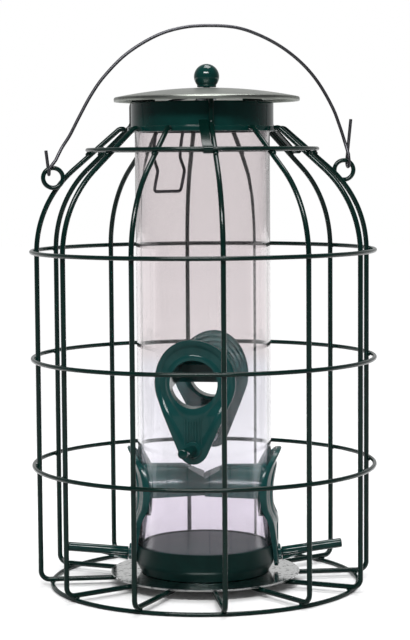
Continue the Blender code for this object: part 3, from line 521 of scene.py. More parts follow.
class Solid:
    """Points and faces of one mesh while it is being put together."""

    def __init__(self) -> None:
        """Starts empty."""
        self.points: list[Vector] = []
        self.faces: list[tuple[int, ...]] = []

    def ring(self, points: Iterable[Vector]) -> list[int]:
        """Adds points.

        Args:
            points: The points.

        Returns:
            Their numbers.
        """
        start = len(self.points)
        self.points.extend(Vector(point) for point in points)
        return list(range(start, len(self.points)))

    def circle(self, centre: Vector, across: Vector, up: Vector, reach: float, sides: int) -> list[int]:
        """Adds a ring of points about a centre, or the centre alone where the ring has no reach.

        Args:
            centre: Its middle.
            across: One of its axes.
            up: The other.
            reach: How many times its axes it reaches out.
            sides: Its points.

        Returns:
            Their numbers.
        """
        if reach == 0:
            return self.ring([centre])
        return self.ring(centre + (across * math.cos(a) + up * math.sin(a)) * reach for a in around(sides))

    def band(self, first: Sequence[int], second: Sequence[int], closed: bool = True) -> None:
        """Joins two rows of points with quads, or with triangles where one row is a single point.

        Args:
            first: One row.
            second: The next row.
            closed: Whether the rows run all the way round.
        """
        count = max(len(first), len(second))
        for i in range(count if closed else count - 1):
            j = (i + 1) % count
            if len(first) == 1:
                self.faces.append((first[0], second[j], second[i]))
            elif len(second) == 1:
                self.faces.append((first[i], first[j], second[0]))
            else:
                self.faces.append((first[i], first[j], second[j], second[i]))

    def skin(self, rings: list[list[int]], closed: bool = False) -> "Solid":
        """Joins rings of points, each to the next.

        Args:
            rings: The rings.
            closed: Whether the last one joins the first.

        Returns:
            This solid.
        """
        for first, second in zip(rings, rings[1:] + (rings[:1] if closed else [])):
            self.band(first, second)
        return self

    def capped(self, first: list[int], second: list[int]) -> "Solid":
        """Joins two rings of points and closes each with one flat face.

        Args:
            first: One ring.
            second: The other.

        Returns:
            This solid.
        """
        self.band(first, second)
        self.faces += [tuple(first), tuple(reversed(second))]
        return self

    def sweep(
        self, path: Sequence[Point], radius: float, closed: bool = False, sides: int = WIRE_SIDES
    ) -> "Solid":
        """Adds a round wire along a path, its cut ends a little domed.

        Args:
            path: The centre line.
            radius: The wire's radius.
            closed: Whether the path runs back to its start.
            sides: Sides of the wire.

        Returns:
            This solid.
        """
        path = [Vector(point) for point in path]
        count = len(path)
        if closed:
            runs = [path[(i + 1) % count] - path[i - 1] for i in range(count)]
            normal = (path[0] - path[count // 2]).cross(path[count // 4] - path[0]).normalized()
        else:
            runs = [path[min(i + 1, count - 1)] - path[max(i - 1, 0)] for i in range(count)]
            normal = runs[0].orthogonal().normalized()
        rows = []
        for place, run in zip(path, runs):
            along = run.normalized()
            normal = (normal - along * normal.dot(along)).normalized()
            rows.append((place, normal, normal.cross(along), radius))
        if not closed:
            start = [self.inward(rows[0], -runs[0].normalized(), step) for step in DOMED_END]
            end = [self.inward(rows[-1], runs[-1].normalized(), step) for step in DOMED_END]
            rows = start[::-1] + rows + end
        return self.skin([self.circle(*row, sides) for row in rows], closed)

    @staticmethod
    def inward(row: tuple[Vector, Vector, Vector, float], out: Vector, step: tuple[float, float]) -> tuple:
        """Gives one of the rows that close a wire's cut end, from its last full row."""
        place, across, up, radius = row
        return (place + out * (radius * step[1]), across, up, radius * step[0])

    def turn(self, profile: Profile, segments: int = TURN_SEGMENTS, centre_x: float = 0.0) -> "Solid":
        """Adds a solid turned about an upright axis.

        Args:
            profile: (radius, height) points; it closes on itself unless both ends lie on the axis.
            segments: Segments round the axis.
            centre_x: Where the axis stands.

        Returns:
            This solid.
        """
        rings = []
        for radius, z in profile:
            turns = around(segments) if radius > ON_AXIS else [0.0]
            reach = radius if radius > ON_AXIS else 0.0
            points = (Vector((centre_x + reach * math.cos(a), reach * math.sin(a), z)) for a in turns)
            rings.append(self.ring(points))
        return self.skin(rings, closed=len(rings[0]) > 1 or len(rings[-1]) > 1)

    def lump(self, centre: Vector, along: Vector, across: Vector, up: Vector) -> None:
        """Adds an egg-shaped lump, such as a weld.

        Args:
            centre: Its middle.
            along: The half axis that its poles lie on.
            across: The second half axis.
            up: The third half axis.
        """
        leans = spread(0.0, math.pi, LUMP_ROWS)
        reaches = [0.0] + [math.sin(lean) for lean in leans[1:-1]] + [0.0]
        middles = [centre + along * math.cos(lean) for lean in leans]
        rings = [self.circle(place, across, up, r, LUMP_SIDES) for place, r in zip(middles, reaches)]
        self.skin(rings)

    def make(self, name: str, finish: bpy.types.Material, sharp_deg: float = SHARP_DEG) -> bpy.types.Object:
        """Turns the points and faces into an object in the scene, with every face pointing out.

        Args:
            name: The object's name.
            finish: Its material.
            sharp_deg: Edges that turn more than this stay sharp.

        Returns:
            The object.
        """
        mesh = bpy.data.meshes.new(name)
        mesh.from_pydata([tuple(point) for point in self.points], [], self.faces)
        mesh.validate()
        shape = bmesh.new()
        shape.from_mesh(mesh)
        bmesh.ops.recalc_face_normals(shape, faces=shape.faces)
        shape.to_mesh(mesh)
        shape.free()
        mesh.shade_smooth()
        mesh.set_sharp_from_angle(angle=math.radians(sharp_deg))
        mesh.materials.append(finish)
        return place_in_scene(name, mesh)


def place_in_scene(name: str, data: bpy.types.ID) -> bpy.types.Object:
    """Makes an object of a mesh, a lamp or a camera, and links it to the scene.

    Args:
        name: The object's name.
        data: What it shows.

    Returns:
        The object.
    """
    made = bpy.data.objects.new(name, data)
    bpy.context.scene.collection.objects.link(made)
    return made


def slab(outline: Profile, width: float, aside: float, azimuth: float, z: float = 0.0) -> Solid:
    """Gives a (radius, height) outline a width across X, and turns it to its azimuth.

    Args:
        outline: The closed outline, drawn at the front.
        width: Its width.
        aside: How far to the side its middle lies.
        azimuth: Where it goes.
        z: How far it is lifted.

    Returns:
        The solid.
    """
    shape = Solid()
    sides = []
    for x in (aside - width / 2, aside + width / 2):
        sides.append(shape.ring(turned_to([Vector((x, -radius, h)) for radius, h in outline], azimuth, z)))
    return shape.capped(*sides)


def bar(start: Vector, end: Vector, radius: float, sides: int) -> Solid:
    """Gives a plain round bar between two points, with flat ends.

    Args:
        start: The middle of one end.
        end: The middle of the other.
        radius: Its radius.
        sides: Sides round it.

    Returns:
        The solid.
    """
    along = (end - start).normalized()
    across = along.orthogonal().normalized()
    up, shape = along.cross(across), Solid()
    return shape.capped(*(shape.circle(place, across, up, radius, sides) for place in (start, end)))


def dress(piece: bpy.types.Object, body: Body, slot: Slot, *nodes: str) -> None:
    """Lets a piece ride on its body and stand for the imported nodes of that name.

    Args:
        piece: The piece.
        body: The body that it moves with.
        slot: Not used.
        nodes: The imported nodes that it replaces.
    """
    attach(piece, body.value)
    if nodes:
        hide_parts(*nodes)
    log.info("%s rides on %s and replaces %s", piece.name, body.value, ", ".join(nodes) or "nothing")


def carve(
    target: bpy.types.Object, tools: Sequence[bpy.types.Object], operation: str, sharp_deg: float = SHARP_DEG
) -> None:
    """Cuts tools from a target or joins them to it, and removes the tools.

    Args:
        target: The piece that changes.
        tools: The shapes that cut or join.
        operation: DIFFERENCE or UNION.
        sharp_deg: Edges that turn more than this stay sharp.
    """
    for tool in tools:
        modifier = target.modifiers.new(tool.name, "BOOLEAN")
        modifier.operation, modifier.solver, modifier.object = operation, "EXACT", tool
    view = bpy.context.evaluated_depsgraph_get()
    result = bpy.data.meshes.new_from_object(target.evaluated_get(view))
    target.modifiers.clear()
    old, target.data = target.data, result
    bpy.data.meshes.remove(old)
    result.shade_smooth()
    result.set_sharp_from_angle(angle=math.radians(sharp_deg))
    for tool in tools:
        bpy.data.objects.remove(tool, do_unlink=True)


def soften(piece: bpy.types.Object, width: float) -> None:
    """Rounds a piece's sharp edges a little, as sheet and mouldings have them.

    Args:
        piece: The piece.
        width: How far the rounding reaches from an edge.
    """
    bevel = piece.modifiers.new("edges", "BEVEL")
    bevel.width, bevel.segments, bevel.harden_normals = width, 2, False
    bevel.limit_method, bevel.angle_limit = "ANGLE", math.radians(SHARP_DEG)


# The cage


@dataclass(frozen=True)
class CageSizes:
    """The cage's wires as they are bent and welded."""

    ribs: int = 12
    hooked_every: int = 4
    first_deg: float = 6.4
    rib_wire: float = 0.0013
    hoop_wire: float = 0.0011
    hoop_sides: int = 14
    hoop_steps: int = 180
    radius: float = 0.0852
    corner: float = 0.0045
    corner_steps: int = 14
    wall_steps: int = 12
    dome_start: float = 0.1720
    dome_bend: float = 0.0560
    dome_steps: int = 36
    sweep_deg: float = 49.1
    spoke_end: float = 0.040
    spoke_z: float = 0.0038
    end_bend: float = 0.0030
    end_turn_deg: float = 68.0
    end_steps: int = 12
    hook_rise: float = 0.0040
    hook_rise_steps: int = 10
    hook_top: float = 0.0036
    hook_top_steps: int = 14
    hook_reach: float = 0.0128
    neck_radius: float = 0.0398
    flange_half: float = 0.0014
    collar_height: float = 0.0150
    floor_hoop: float = 0.0792
    wall_hoops: tuple[tuple[str, float], ...] = (
        ("lower_ring", 0.0628),
        ("middle_ring", 0.1179),
        ("shoulder_ring", 0.1727),
    )
    top_hoop_share: float = 0.279
    weld_reach: float = 0.0014
    weld_rise: float = 0.0009
    tab_width: float = 0.0046
    tab_thickness: float = 0.0009
    tab_curl_deg: float = 200.0
    tab_curl_steps: int = 26
    tab_edge: float = 0.00018
    eye_degs: tuple[float, float] = (42.6, 39.0)
    eye_stand: float = 0.0049
    eye_radius: float = 0.0050
    eye_wire: float = 0.00115
    eye_steps: int = 48
    eye_weld: tuple[float, float, float] = (0.0024, 0.0014, 0.0010)
    eye_weld_aside: float = 0.9


class Cage:
    """Twelve bent wires, five hoops, three sheet tabs and the two eyes of the handle, welded and coated."""

    def __init__(self, sizes: CageSizes, finishes: Finishes) -> None:
        """Keeps the sizes and finishes, and works out how far a hoop stands off the ribs.

        Args:
            sizes: The cage's sizes.
            finishes: The feeder's finishes.
        """
        self.s = sizes
        self.finish = finishes.powder_coat
        self.weld_step = sizes.rib_wire + sizes.hoop_wire + SEAT_GAP

    def dome(self, sweep_deg: float, stand_off: float = 0.0) -> tuple[float, float]:
        """Gives the place of a point on the ribs' dome bend.

        Args:
            sweep_deg: How far round the bend it lies.
            stand_off: How far outside the ribs' centre lines.

        Returns:
            Its radius and height.
        """
        angle, reach = math.radians(sweep_deg), self.s.dome_bend + stand_off
        inner = self.s.radius - self.s.dome_bend
        return (inner + reach * math.cos(angle), self.s.dome_start + reach * math.sin(angle))

    def slope(self, radius: float, stand_off: float = 0.0) -> tuple[float, float]:
        """Gives the point at this radius on the straight slope from the dome bend up to the neck."""
        start = self.dome(self.s.sweep_deg, stand_off)
        return (radius, start[1] + (start[0] - radius) / math.tan(math.radians(self.s.sweep_deg)))

    def plain_end(self) -> Profile:
        """Gives the bend that brings a plain rib's end down to the collar's flange.

        Returns:
            (radius, height) points.
        """
        s = self.s
        first, last = s.sweep_deg, s.sweep_deg + s.end_turn_deg
        reach = math.cos(math.radians(first)) - math.cos(math.radians(last))
        start = self.slope(s.neck_radius + s.end_bend * reach)
        across, up = math.cos(math.radians(first)), math.sin(math.radians(first))
        centre = (start[0] - s.end_bend * across, start[1] - s.end_bend * up)
        return arc(centre, s.end_bend, first, last, s.end_steps)

    @property
    def hook_z(self) -> float:
        """Gives the height at which the hooked ribs lie over the collar's rim."""
        collar_top = self.plain_end()[-1][1] - self.s.flange_half + self.s.collar_height
        return collar_top + SEAT_GAP + self.s.rib_wire

    def hooked_end(self) -> Profile:
        """Gives the run of a hooked rib: up beside the collar, then in over its rim.

        Returns:
            (radius, height) points.
        """
        s = self.s
        turn = math.radians(s.sweep_deg)
        start = self.slope(s.neck_radius + s.hook_rise * (1 - math.cos(turn)))
        centre = (start[0] + s.hook_rise * math.cos(turn), start[1] + s.hook_rise * math.sin(turn))
        rise = arc(centre, s.hook_rise, 180 + s.sweep_deg, 180, s.hook_rise_steps)
        middle = (s.neck_radius - s.hook_top, self.hook_z - s.hook_top)
        top = arc(middle, s.hook_top, 0, 90, s.hook_top_steps)
        return rise + top + [(s.neck_radius - s.hook_reach, self.hook_z)]

    def rib_line(self, hooked: bool) -> Profile:
        """Gives one rib's centre line from its spoke's end on the floor to the neck.

        Args:
            hooked: Whether the rib hooks over the collar's rim.

        Returns:
            (radius, height) points.
        """
        s = self.s
        corner = arc((s.radius - s.corner, s.spoke_z + s.corner), s.corner, -90, 0, s.corner_steps)
        wall = [(s.radius, z) for z in spread(corner[-1][1], s.dome_start, s.wall_steps)[1:-1]]
        bend = arc((s.radius - s.dome_bend, s.dome_start), s.dome_bend, 0, s.sweep_deg, s.dome_steps)
        end = self.hooked_end() if hooked else self.plain_end()
        return [(s.spoke_end, s.spoke_z)] + corner + wall + bend + end

    def azimuths(self) -> list[float]:
        """Gives the azimuths of the ribs."""
        return [self.s.first_deg + 360 / self.s.ribs * i for i in range(self.s.ribs)]

    def top_hoop(self, stand_off: float) -> tuple[float, float]:
        """Gives the (radius, height) of the top hoop's line, this far outside the ribs' centre lines."""
        foot = self.dome(self.s.sweep_deg)[0]
        return self.slope(foot + (self.s.neck_radius - foot) * self.s.top_hoop_share, stand_off)

    def build_ribs(self) -> None:
        """Builds the twelve ribs."""
        for i, azimuth in enumerate(self.azimuths()):
            path = [polar(radius, azimuth, z) for radius, z in self.rib_line(i % self.s.hooked_every == 0)]
            name = f"cage_rib_{i + 1:02d}"
            rib = Solid().sweep(path, self.s.rib_wire).make(f"{name}_wire", self.finish)
            dress(rib, Body.CAGE, Slot.CAGE, name)

    def build_hoops(self) -> None:
        """Builds the five hoops."""
        s = self.s
        places = [("floor_ring", s.floor_hoop, s.hoop_wire)]
        places += [(name, s.radius + self.weld_step, z) for name, z in s.wall_hoops]
        places += [("top_ring", *self.top_hoop(self.weld_step))]
        for name, radius, z in places:
            path = [polar(radius, 360 * i / s.hoop_steps, z) for i in range(s.hoop_steps)]
            hoop = Solid().sweep(path, s.hoop_wire, closed=True, sides=s.hoop_sides)
            dress(hoop.make(f"{name}_hoop", self.finish), Body.CAGE, Slot.CAGE, name)

    def build_welds(self) -> None:
        """Builds the small welds where ribs cross hoops, as the coat leaves them: low rounded lumps."""
        s, lumps = self.s, Solid()
        lean, up = math.radians(s.sweep_deg), Vector((0, 0, 1))
        top = self.top_hoop(s.rib_wire)
        for azimuth in self.azimuths():
            out, side = polar(1, azimuth), polar(1, azimuth + 90)
            places = [(out * (s.radius + s.rib_wire) + up * z, up, out) for _, z in s.wall_hoops]
            across = out * math.cos(lean) + up * math.sin(lean)
            along = up * math.cos(lean) - out * math.sin(lean)
            places.append((out * top[0] + up * top[1], along, across))
            places.append((out * s.floor_hoop + up * (s.spoke_z - s.rib_wire), out, up))
            for place, run, rise in places:
                lumps.lump(place, run * s.weld_reach, side * s.weld_reach, rise * s.weld_rise)
        dress(lumps.make("cage_welds", self.finish), Body.CAGE, Slot.CAGE)

    def build_tabs(self) -> None:
        """Builds the three sheet tabs beside the hooked ribs, each curled round the top hoop."""
        s = self.s
        half = s.tab_thickness / 2
        reach = s.hoop_wire + SEAT_GAP + half
        upper = self.slope(s.neck_radius - s.rib_wire + s.tab_thickness, self.weld_step - reach)
        start = 180 + s.sweep_deg
        curl = arc(self.top_hoop(self.weld_step), reach, start, start + s.tab_curl_deg, s.tab_curl_steps)
        outline = thickened([upper] + curl, half)
        aside = s.rib_wire + SEAT_GAP + s.tab_width / 2
        for number, azimuth in enumerate(self.azimuths()[:: s.hooked_every], 1):
            tab = slab(outline, s.tab_width, -aside, azimuth).make(f"dome_tab_{number}_sheet", self.finish)
            soften(tab, s.tab_edge)
            dress(tab, Body.CAGE, Slot.CAGE, f"dome_tab_{number}")

    def eye_centre(self, side: Side) -> tuple[float, float]:
        """Gives the (radius, height) of an eye's centre beside its rib."""
        return self.dome(side.pick(self.s.eye_degs), self.s.eye_stand)

    def eye_azimuth(self, side: Side) -> float:
        """Gives the azimuth of an eye: the side rib's, and a step beside it that clears the rib's wire.

        Args:
            side: The eye's side.

        Returns:
            The azimuth in degrees.
        """
        s = self.s
        nearest = self.eye_centre(Side.RIGHT)[0] - s.eye_radius - s.eye_wire
        aside = math.degrees(math.asin((s.rib_wire + s.eye_wire + SEAT_GAP) / nearest))
        return s.first_deg + side.pick((90, 270)) + aside

    def build_eyes(self) -> None:
        """Builds the two wire eyes that hold the handle, with the weld that ties each to its rib."""
        s = self.s
        for side in Side:
            centre, azimuth = self.eye_centre(side), self.eye_azimuth(side)
            path = [polar(r, azimuth, z) for r, z in arc(centre, s.eye_radius, 0, 360, s.eye_steps)[:-1]]
            eye = Solid().sweep(path, s.eye_wire, closed=True)
            sweep = side.pick(s.eye_degs)
            radius, z = self.dome(sweep)
            along = polar(-math.sin(math.radians(sweep)), azimuth, math.cos(math.radians(sweep)))
            across = polar(1, azimuth + 90)
            place = polar(radius, azimuth, z) - across * (s.rib_wire * s.eye_weld_aside)
            axes = (along, across, along.cross(across))
            eye.lump(place, *(axis * reach for axis, reach in zip(axes, s.eye_weld)))
            name = f"bail_eye_{side.name.lower()}"
            dress(eye.make(f"{name}_loop", self.finish), Body.CAGE, Slot.CAGE, name)

    def build(self) -> None:
        """Builds the whole cage."""
        self.build_ribs()
        self.build_hoops()
        self.build_welds()
        self.build_tabs()
        self.build_eyes()


# The screws


@dataclass(frozen=True)
class PanScrew:
    """A pan-head screw about Z, its head below its seat, with a cross recess in the head."""

    radius: float = 0.0016
    play: float = 0.0003
    grip: float = 0.0050
    head_radius: float = 0.0036
    head_height: float = 0.0020
    head_turns: tuple[float, ...] = (0.35, 0.7, 1.0, 1.25)
    head_fullness: float = 0.6
    head_edge: float = 0.0006
    pitch: float = 0.0007
    thread_depth: float = 0.00018
    thread_start: float = 0.0004
    unthreaded: float = 0.0012
    point: float = 0.0006
    slot_length: float = 0.0040
    slot_width: float = 0.0008
    slot_depth: float = 0.0011
    slot_overrun: float = 0.001
    slot_taper: float = 0.6
    slot_step: float = 0.00004
    segments: int = 40

    @property
    def bore(self) -> float:
        """Gives the radius of the hole that its shank goes through."""
        return self.radius + self.play

    def slots(
        self, name: str, head_z: float, centre_x: float, finish: bpy.types.Material
    ) -> list[bpy.types.Object]:
        """Gives the two tapered blades that cut the cross recess.

        Args:
            name: The screw's name.
            head_z: Where its head ends.
            centre_x: Where its axis stands.
            finish: Its finish.

        Returns:
            The two cutting shapes.
        """
        made = []
        long, thin = self.slot_length / 2, self.slot_width / 2
        for x, y, extra in ((long, thin, 0.0), (thin, long, self.slot_step)):
            low, high = head_z - self.slot_overrun - extra, head_z + self.slot_depth + extra
            blade, ends = Solid(), []
            for share, z in ((1.0, low), (self.slot_taper, high)):
                corners = ((-x, -y), (x, -y), (x, y), (-x, y))
                ends.append(blade.ring(Vector((a * share + centre_x, b * share, z)) for a, b in corners))
            made.append(blade.capped(*ends).make(f"{name}_slot", finish))
        return made

    def build(
        self, name: str, seat_z: float, length: float, finish: bpy.types.Material, centre_x: float = 0.0
    ) -> bpy.types.Object:
        """Builds the screw.

        Args:
            name: Its name.
            seat_z: Where its head bears.
            length: The shank's length above the seat.
            finish: Its finish.
            centre_x: Where its axis stands.

        Returns:
            The screw.
        """
        head_z, end_z, reach = seat_z - self.head_height, seat_z + length, self.head_radius
        profile = [(0.0, head_z)]
        for turn in self.head_turns:
            drop = self.head_height * math.cos(turn) ** self.head_fullness
            profile.append((reach * math.sin(turn), seat_z - drop))
        profile += [(reach, seat_z - self.head_edge), (reach, seat_z), (self.radius, seat_z)]
        for i in range(int((length - self.unthreaded) / self.pitch)):
            z = seat_z + self.thread_start + self.pitch * i
            profile += [(self.radius, z), (self.radius - self.thread_depth, z + self.pitch / 2)]
        profile += [(self.radius, end_z - self.point), (self.radius - self.point, end_z), (0.0, end_z)]
        made = Solid().turn(profile, self.segments, centre_x).make(name, finish)
        carve(made, self.slots(name, head_z, centre_x, finish), "DIFFERENCE")
        return made


# The tube, its collar and its dish


@dataclass(frozen=True)
class TubeSizes:
    """The seed tube and what closes it."""

    radius: float = 0.0345
    wall: float = 0.0018
    bottom_z: float = 0.0127
    tube_rows: int = 24
    tube_segments: int = 144
    tube_sharp_deg: float = 50.0
    collar_wall: float = 0.0016
    flange_step: float = 0.0018
    flange_height: float = 0.0028
    collar_lip: float = 0.0020
    collar_bend: float = 0.00045
    edge: float = 0.0005
    dish_bottom: float = 0.0067
    dish_height: float = 0.0143
    dish_wall: float = 0.0010
    dish_skin: float = 0.0015
    dish_rim_edge: float = 0.0003
    dish_floor_edge: float = 0.0004
    groove_depth: float = 0.0086
    floor_drop: float = 0.0004
    foot_radius: float = 0.0330
    foot_rise: float = 0.0050
    foot_steps: int = 12
    boss_radius: float = 0.0052
    disc_radius: float = 0.0490
    disc_bottom: float = 0.0054
    disc_thickness: float = 0.0010
    disc_edge: float = 0.0002
    disc_rows: int = 10
    screw: PanScrew = PanScrew()


class FeedTube:
    """The clear tube between neck collar and base dish, and the disc and screw that hold the dish."""

    def __init__(
        self, sizes: TubeSizes, finishes: Finishes, ports: "Sequence[FeedPort]", hook_z: float
    ) -> None:
        """Keeps the sizes and finishes and what the tube is cut for.

        Args:
            sizes: The tube's sizes.
            finishes: The feeder's finishes.
            ports: The ports, for their holes.
            hook_z: The height of the ribs' hooks over the collar.
        """
        self.s = sizes
        self.f = finishes
        self.ports = ports
        self.collar_top = hook_z - SEAT_GAP - CageSizes.rib_wire

    def build_tube(self) -> None:
        """Builds the tube with its ports' and perches' holes."""
        s = self.s
        rows = spread(s.bottom_z, self.collar_top - s.edge - SEAT_GAP, s.tube_rows)
        walls = [(s.radius, z) for z in rows] + [(s.radius - s.wall, z) for z in reversed(rows)]
        tube = Solid().turn(walls, s.tube_segments).make("seed_tube_extrusion", self.f.tube)
        tools = [tool for port in self.ports for tool in port.tube_cutters()]
        carve(tube, tools, "DIFFERENCE", s.tube_sharp_deg)
        dress(tube, Body.CAGE, Slot.CLEAR, "seed_tube")

    def build_collar(self) -> None:
        """Builds the neck band, with its flange below and its lip in over the tube."""
        s = self.s
        inner = s.radius + SEAT_GAP
        wall = inner + s.collar_wall
        flange = wall + s.flange_step
        top, bottom = self.collar_top, self.collar_top - CageSizes.collar_height
        lip = s.radius - s.collar_lip
        shelf = bottom + s.flange_height
        start = (lip, top - s.edge)
        corners = [start, (lip, top), (wall, top), (wall, shelf), (flange, shelf), (flange, bottom)]
        corners += [(inner, bottom), (inner, top - s.edge), start]
        profile = [tuple(point) for point in rounded(corners, s.collar_bend)[:-1]]
        # The collar's darker finish is painted shade from the lid above it.
        collar = Solid().turn(profile).make("neck_collar_band", self.f.polished_dark_and_painted_shade)
        dress(collar, Body.CAGE, Slot.PLASTIC, "neck_collar")

    def build_dish(self) -> None:
        """Builds the turned dish under the tube, its foot rounded and its rim eased."""
        s = self.s
        inner, bottom = s.radius + SEAT_GAP, s.dish_bottom
        wall, top, foot = inner + s.dish_wall, s.dish_bottom + s.dish_height, s.dish_bottom + s.foot_rise
        groove, rim = top - s.groove_depth, s.dish_rim_edge
        plug, floor = s.radius - s.wall - SEAT_GAP, top - s.floor_drop
        hollow, bore = plug - s.dish_skin, s.screw.bore
        bore_top = bottom - SEAT_GAP + s.screw.grip + s.screw.play
        above = [
            (0.0, floor),
            (plug - s.dish_floor_edge, floor),
            (plug, floor - s.dish_floor_edge),
            (plug, groove),
            (inner, groove),
            (inner, top - rim),
            (inner + rim, top),
            (wall - rim, top),
        ]
        side = rounded([(wall, top - rim), (wall, foot), (s.foot_radius, bottom)], s.foot_rise, s.foot_steps)
        inside = [
            (s.foot_radius - s.dish_skin, bottom),
            (wall - s.dish_skin, foot),
            (wall - s.dish_skin, groove - s.dish_skin),
            (hollow, groove - s.dish_skin),
            (hollow, floor - s.dish_skin),
            (s.boss_radius, floor - s.dish_skin),
            (s.boss_radius, bottom),
            (bore, bottom),
            (bore, bore_top),
            (0.0, bore_top),
        ]
        profile = above + [tuple(point) for point in side] + inside
        # The dish's darker finish is painted shade.
        dish = Solid().turn(profile).make("base_dish_moulding", self.f.satin_painted_shade)
        tools = [port.stud_cutter(f"{port.place.name}_dish_bore") for port in self.ports if port.is_low]
        carve(dish, tools, "DIFFERENCE")
        dress(dish, Body.CAGE, Slot.PLASTIC, "base_dish")

    def build_disc(self) -> None:
        """Builds the sheet disc that lies on the spokes, with its sheared edge just broken."""
        s = self.s
        low, high = s.disc_bottom, s.disc_bottom + s.disc_thickness
        rows = spread(s.screw.bore, s.disc_radius - s.disc_edge, s.disc_rows)
        edge = [(s.disc_radius, high - s.disc_edge), (s.disc_radius, low + s.disc_edge)]
        profile = [(r, high) for r in rows] + edge + [(r, low) for r in reversed(rows)]
        disc = Solid().turn(profile).make("floor_disc_sheet", self.f.disc_sheet)
        dress(disc, Body.CAGE, Slot.SHEET, "floor_disc")

    def build_screw(self) -> None:
        """Builds the screw from below that holds the dish to the disc."""
        s = self.s
        length = s.disc_thickness + SEAT_GAP + s.screw.grip
        made = s.screw.build("base_screw_pan_head", s.disc_bottom - SEAT_GAP, length, self.f.zinc)
        dress(made, Body.CAGE, Slot.FASTENER, "base_screw")

    def build(self) -> None:
        """Builds the tube and all that closes it."""
        self.build_tube()
        self.build_collar()
        self.build_dish()
        self.build_disc()
        self.build_screw()


# The ports and their perches


@dataclass(frozen=True)
class PortPlace:
    """Where one port and its perch sit on the tube."""

    name: str
    azimuth: float
    z: float
    tilt: float


@dataclass(frozen=True)
class PortSizes:
    """One moulded port, its perch and its nut."""

    back: float = 0.0348
    tail_back: float = 0.0361
    tube_inner: float = 0.0327
    hollow: float = 0.0309
    dish_top: float = 0.0210
    mouth: float = 0.0121
    head: float = 0.0206
    hood: float = 0.0225
    tip: float = 0.0075
    tip_drop: float = 0.0326
    wall: float = 0.0016
    edge: float = 0.0004
    roof_wall: float = 0.0017
    roof_skirt: float = 0.0031
    roof_skirt_end: float = 0.0012
    roof_steps: int = 48
    fall_depth: float = 0.0063
    fall_length: float = 0.0125
    roof_gap: float = -0.00002
    spigot_depth: float = 0.0050
    spigot_steps: int = 96
    flare: float = 0.0030
    flare_start: float = 0.0075
    bead: float = 0.0007
    bead_flat: float = 1.02
    mouth_bead: float = 0.27
    rim_bead_top: float = 0.90
    rim_bead_half: float = 0.24
    boss: float = 0.0042
    boss_height: float = 0.0012
    boss_segments: int = 48
    crowding: float = 1.35
    steps: int = 144
    rows: int = 22
    grooves: int = 4
    groove_steps: int = 5
    groove_depth: float = 0.0006
    groove_fade: float = 0.0060
    flutes: int = 7
    flute_pitch: float = 0.00135
    flute_wire: float = 0.00048
    flute_top_gap: float = 0.0034
    flute_foot_gap: float = 0.0004
    flute_steps: int = 10
    flute_sides: int = 10
    cut_overrun: float = 0.006
    hole_sides: int = 96
    bore_sides: int = 32
    perch: float = 0.0024
    perch_length: float = 0.0318
    perch_end: float = 0.0009
    perch_end_steps: int = 6
    perch_heel: float = 0.0008
    perch_heel_step: float = 0.0002
    perch_segments: int = 40
    stud: float = 0.0015
    stud_pitch: float = 0.0006
    stud_thread: float = 0.00015
    stud_point: float = 0.0003
    play: float = 0.0003
    nut: float = 0.0030
    nut_height: float = 0.0024
    nut_sides: int = 6
    nut_fit: float = 0.985
    nut_overrun: float = 0.002
    nut_sharp_deg: float = 25.0
    overhang: float = 0.0010
    keel_length: float = 0.0205
    keel_depth: float = 0.0046
    keel_thickness: float = 0.0014
    keel_edge: float = 0.00025


